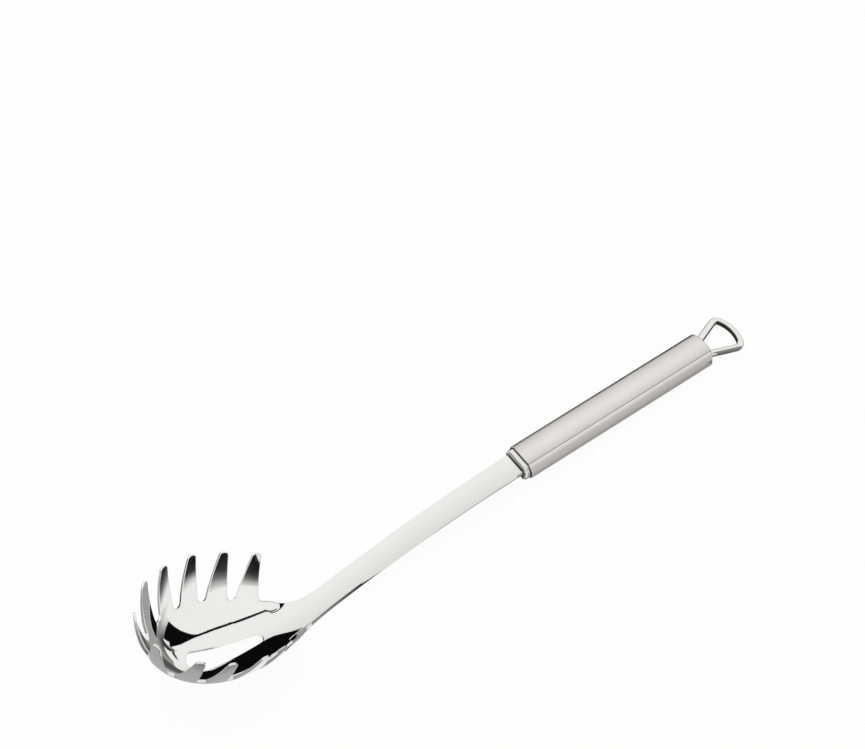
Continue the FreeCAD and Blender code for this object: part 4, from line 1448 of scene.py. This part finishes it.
@dataclass
class Studio:
    """Pale floor, white surround, soft overhead light and dark cards that paint dark reflections into polished
    steel.
    """

    floor_half: float = 3.0
    floor_grey: float = 0.9
    floor_white: float = 0.95
    surround: float = 0.45
    # Glow of the cards' painted dark reflection.
    dark_reflection_grey: float = 0.004
    light_place: Triple = (0.0, 0.1, 1.6)
    light_aim: Triple = (0.0, 0.0, 0.0)
    light_size: float = 1.4
    light_power: float = 12.0

    def world(self) -> None:
        """A white surround for the camera and for gloss, and a softer one for diffuse light."""
        world = bpy.data.worlds.new("studio")
        bpy.context.scene.world = world
        world.use_nodes = True
        board = ShaderBoard(world.node_tree)
        strength = self.surround + self.seen(board) * (1.0 - self.surround)
        surround = board.node("ShaderNodeBackground", inputs={"Color": grey(1.0), "Strength": strength})
        board.node("ShaderNodeOutputWorld", inputs={"Surface": surround})

    @staticmethod
    def seen(board: ShaderBoard) -> Signal:
        """1 for what the camera sees itself, in gloss or through glass, otherwise 0.

        Args:
            board: the board that reads it.

        Returns:
            The mask.
        """
        camera = board.node("ShaderNodeLightPath", output="Is Camera Ray")
        glossy = board.node("ShaderNodeLightPath", output="Is Glossy Ray")
        through = board.node("ShaderNodeLightPath", output="Is Transmission Ray")
        return camera.either(glossy).either(through)

    def floor(self) -> bpy.types.Object:
        """A plain pale floor that keeps the object's shadow.

        Returns:
            The floor.
        """
        half = self.floor_half
        corners = [(-half, -half, 0.0), (half, -half, 0.0), (half, half, 0.0), (-half, half, 0.0)]
        mesh = bpy.data.meshes.new("floor")
        mesh.from_pydata(corners, [], [(0, 1, 2, 3)])
        material, board = start_material("pale_floor")
        matt = board.node("ShaderNodeBsdfDiffuse", inputs={"Color": grey(self.floor_grey)})
        glow = board.node("ShaderNodeEmission", inputs={"Color": grey(1.0), "Strength": 1.0})
        white = self.seen(board) * self.floor_white
        mixed = board.node("ShaderNodeMixShader", inputs={0: white, 1: matt, 2: glow})
        board.node("ShaderNodeOutputMaterial", inputs={"Surface": mixed})
        mesh.materials.append(material)
        made = link_object("floor", mesh)
        return made

    def card_material(self) -> bpy.types.Material:
        """Painted dark reflection: a near-black glow that lets through what its cover leaves open.

        Returns:
            The cards' common material.
        """
        material, board = start_material("painted_card_reflection")
        cover = board.node("ShaderNodeAttribute", {"attribute_name": "cover"}, output="Fac")
        sided = board.node("ShaderNodeAttribute", {"attribute_name": "sided"}, output="Fac")
        behind = board.node("ShaderNodeNewGeometry", output="Backfacing")
        clear = board.node("ShaderNodeBsdfTransparent")
        # Painted dark reflection: a near-black glow that only the steel sees.
        dark_reflection = board.node("ShaderNodeEmission", inputs={"Color": grey(self.dark_reflection_grey), "Strength": 1.0})
        mixed = board.node("ShaderNodeMixShader", inputs={
            0: cover * (1.0 - sided * behind), 1: clear, 2: dark_reflection})
        board.node("ShaderNodeOutputMaterial", inputs={"Surface": mixed})
        return material

    def light(self) -> bpy.types.Object:
        """A square soft light overhead that isn't mirrored itself.

        Returns:
            The light.
        """
        data = bpy.data.lights.new("overhead_softbox", "AREA")
        data.shape = "RECTANGLE"
        data.size = self.light_size
        data.size_y = self.light_size
        data.energy = self.light_power
        made = link_object("overhead_softbox", data)
        made.location = self.light_place
        aim = Vector(self.light_aim) - Vector(self.light_place)
        made.rotation_euler = aim.to_track_quat("-Z", "Y").to_euler()
        made.visible_glossy = False
        return made

    def build(self) -> None:
        """Set up the whole studio."""
        bpy.context.scene.view_settings.view_transform = "Standard"
        self.world()
        self.floor()
        dark_reflection = self.card_material()
        for card in CARDS:
            card.build(dark_reflection)
        self.light()


# Painted shade: the polished head darker on its near half and, by ambient occlusion, in narrow places.
MIRROR = SteelFinish(
    name="polished_steel", tint=(0.83, 0.83, 0.825), roughness=0.04, roughness_drift=0.02, tint_drift=0.03,
    mark_stretch=(1.0, 6.0, 6.0), mark_scale=120.0, mark_bump=0.02, near_shade=0.13, crevice_shade=0.8)
# Painted shade: the satin handle's top darker towards its edges, and a painted dark reflection along its corners.
SATIN = SteelFinish(
    name="satin_steel", tint=(0.75, 0.74, 0.73), roughness=0.14, roughness_drift=0.08, tint_drift=0.08,
    mark_stretch=(1.0, 30.0, 30.0), mark_scale=40.0, mark_bump=0.1, crown_shade=0.30, painted_edge_line=0.85)
# Painted shade: ambient occlusion darkens the collar's narrow places, such as the seam by the handle.
RING = SteelFinish(
    name="collar_steel", tint=(0.80, 0.80, 0.79), roughness=0.1, roughness_drift=0.04, tint_drift=0.04,
    mark_stretch=(1.0, 6.0, 6.0), mark_scale=160.0, mark_bump=0.03, crevice_shade=4.0)
# Painted shade: ambient occlusion darkens the wire's narrow places.
WIRE = SteelFinish(
    name="wire_steel", tint=(0.80, 0.80, 0.79), roughness=0.1, roughness_drift=0.04, tint_drift=0.05,
    mark_stretch=(1.0, 6.0, 6.0), mark_scale=160.0, mark_bump=0.03, crevice_shade=0.8)
PLUG = SteelFinish(
    name="plug_steel", tint=(0.72, 0.71, 0.70), roughness=0.3, roughness_drift=0.1, tint_drift=0.06,
    mark_stretch=(6.0, 6.0, 6.0), mark_scale=120.0, mark_bump=0.05)


def report(piece: bpy.types.Object) -> None:
    """Log one finished piece."""
    LOG.info("%s: %d points, %d faces", piece.name, len(piece.data.vertices), len(piece.data.polygons))


def main() -> None:
    """Load the frame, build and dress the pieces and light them."""
    logging.basicConfig(level=logging.INFO, format="%(name)s %(message)s")
    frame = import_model()
    section = HandleSection()
    line = MiddleLine()
    angle = line.rest_angle(TUBE_LENGTH, section.depth)
    pose = RestPose.from_tube(angle, TUBE_LENGTH, section.depth)
    PhotoCamera(pose).build()
    head = PressedHead(pose, line).build(MIRROR.material())
    # The bowl mirrors the studio, not its own teeth.
    head.visible_glossy = False
    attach(head, "root")
    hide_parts("server_head")
    report(head)
    shell = HandleShell(pose, section).build(SATIN.material())
    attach(shell, "root")
    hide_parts("handle_tube")
    report(shell)
    loop = HangingLoop(pose).build(WIRE.material())
    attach(loop, "root")
    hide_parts("hanging_loop")
    report(loop)
    for node, finish in (("front_collar", RING), ("rear_plug", PLUG)):
        mesh = frame["nodes"][node].data
        mesh.materials.clear()
        mesh.materials.append(finish.material())
        report(frame["nodes"][node])
    Studio().build()


if __name__ == "__main__":
    main()
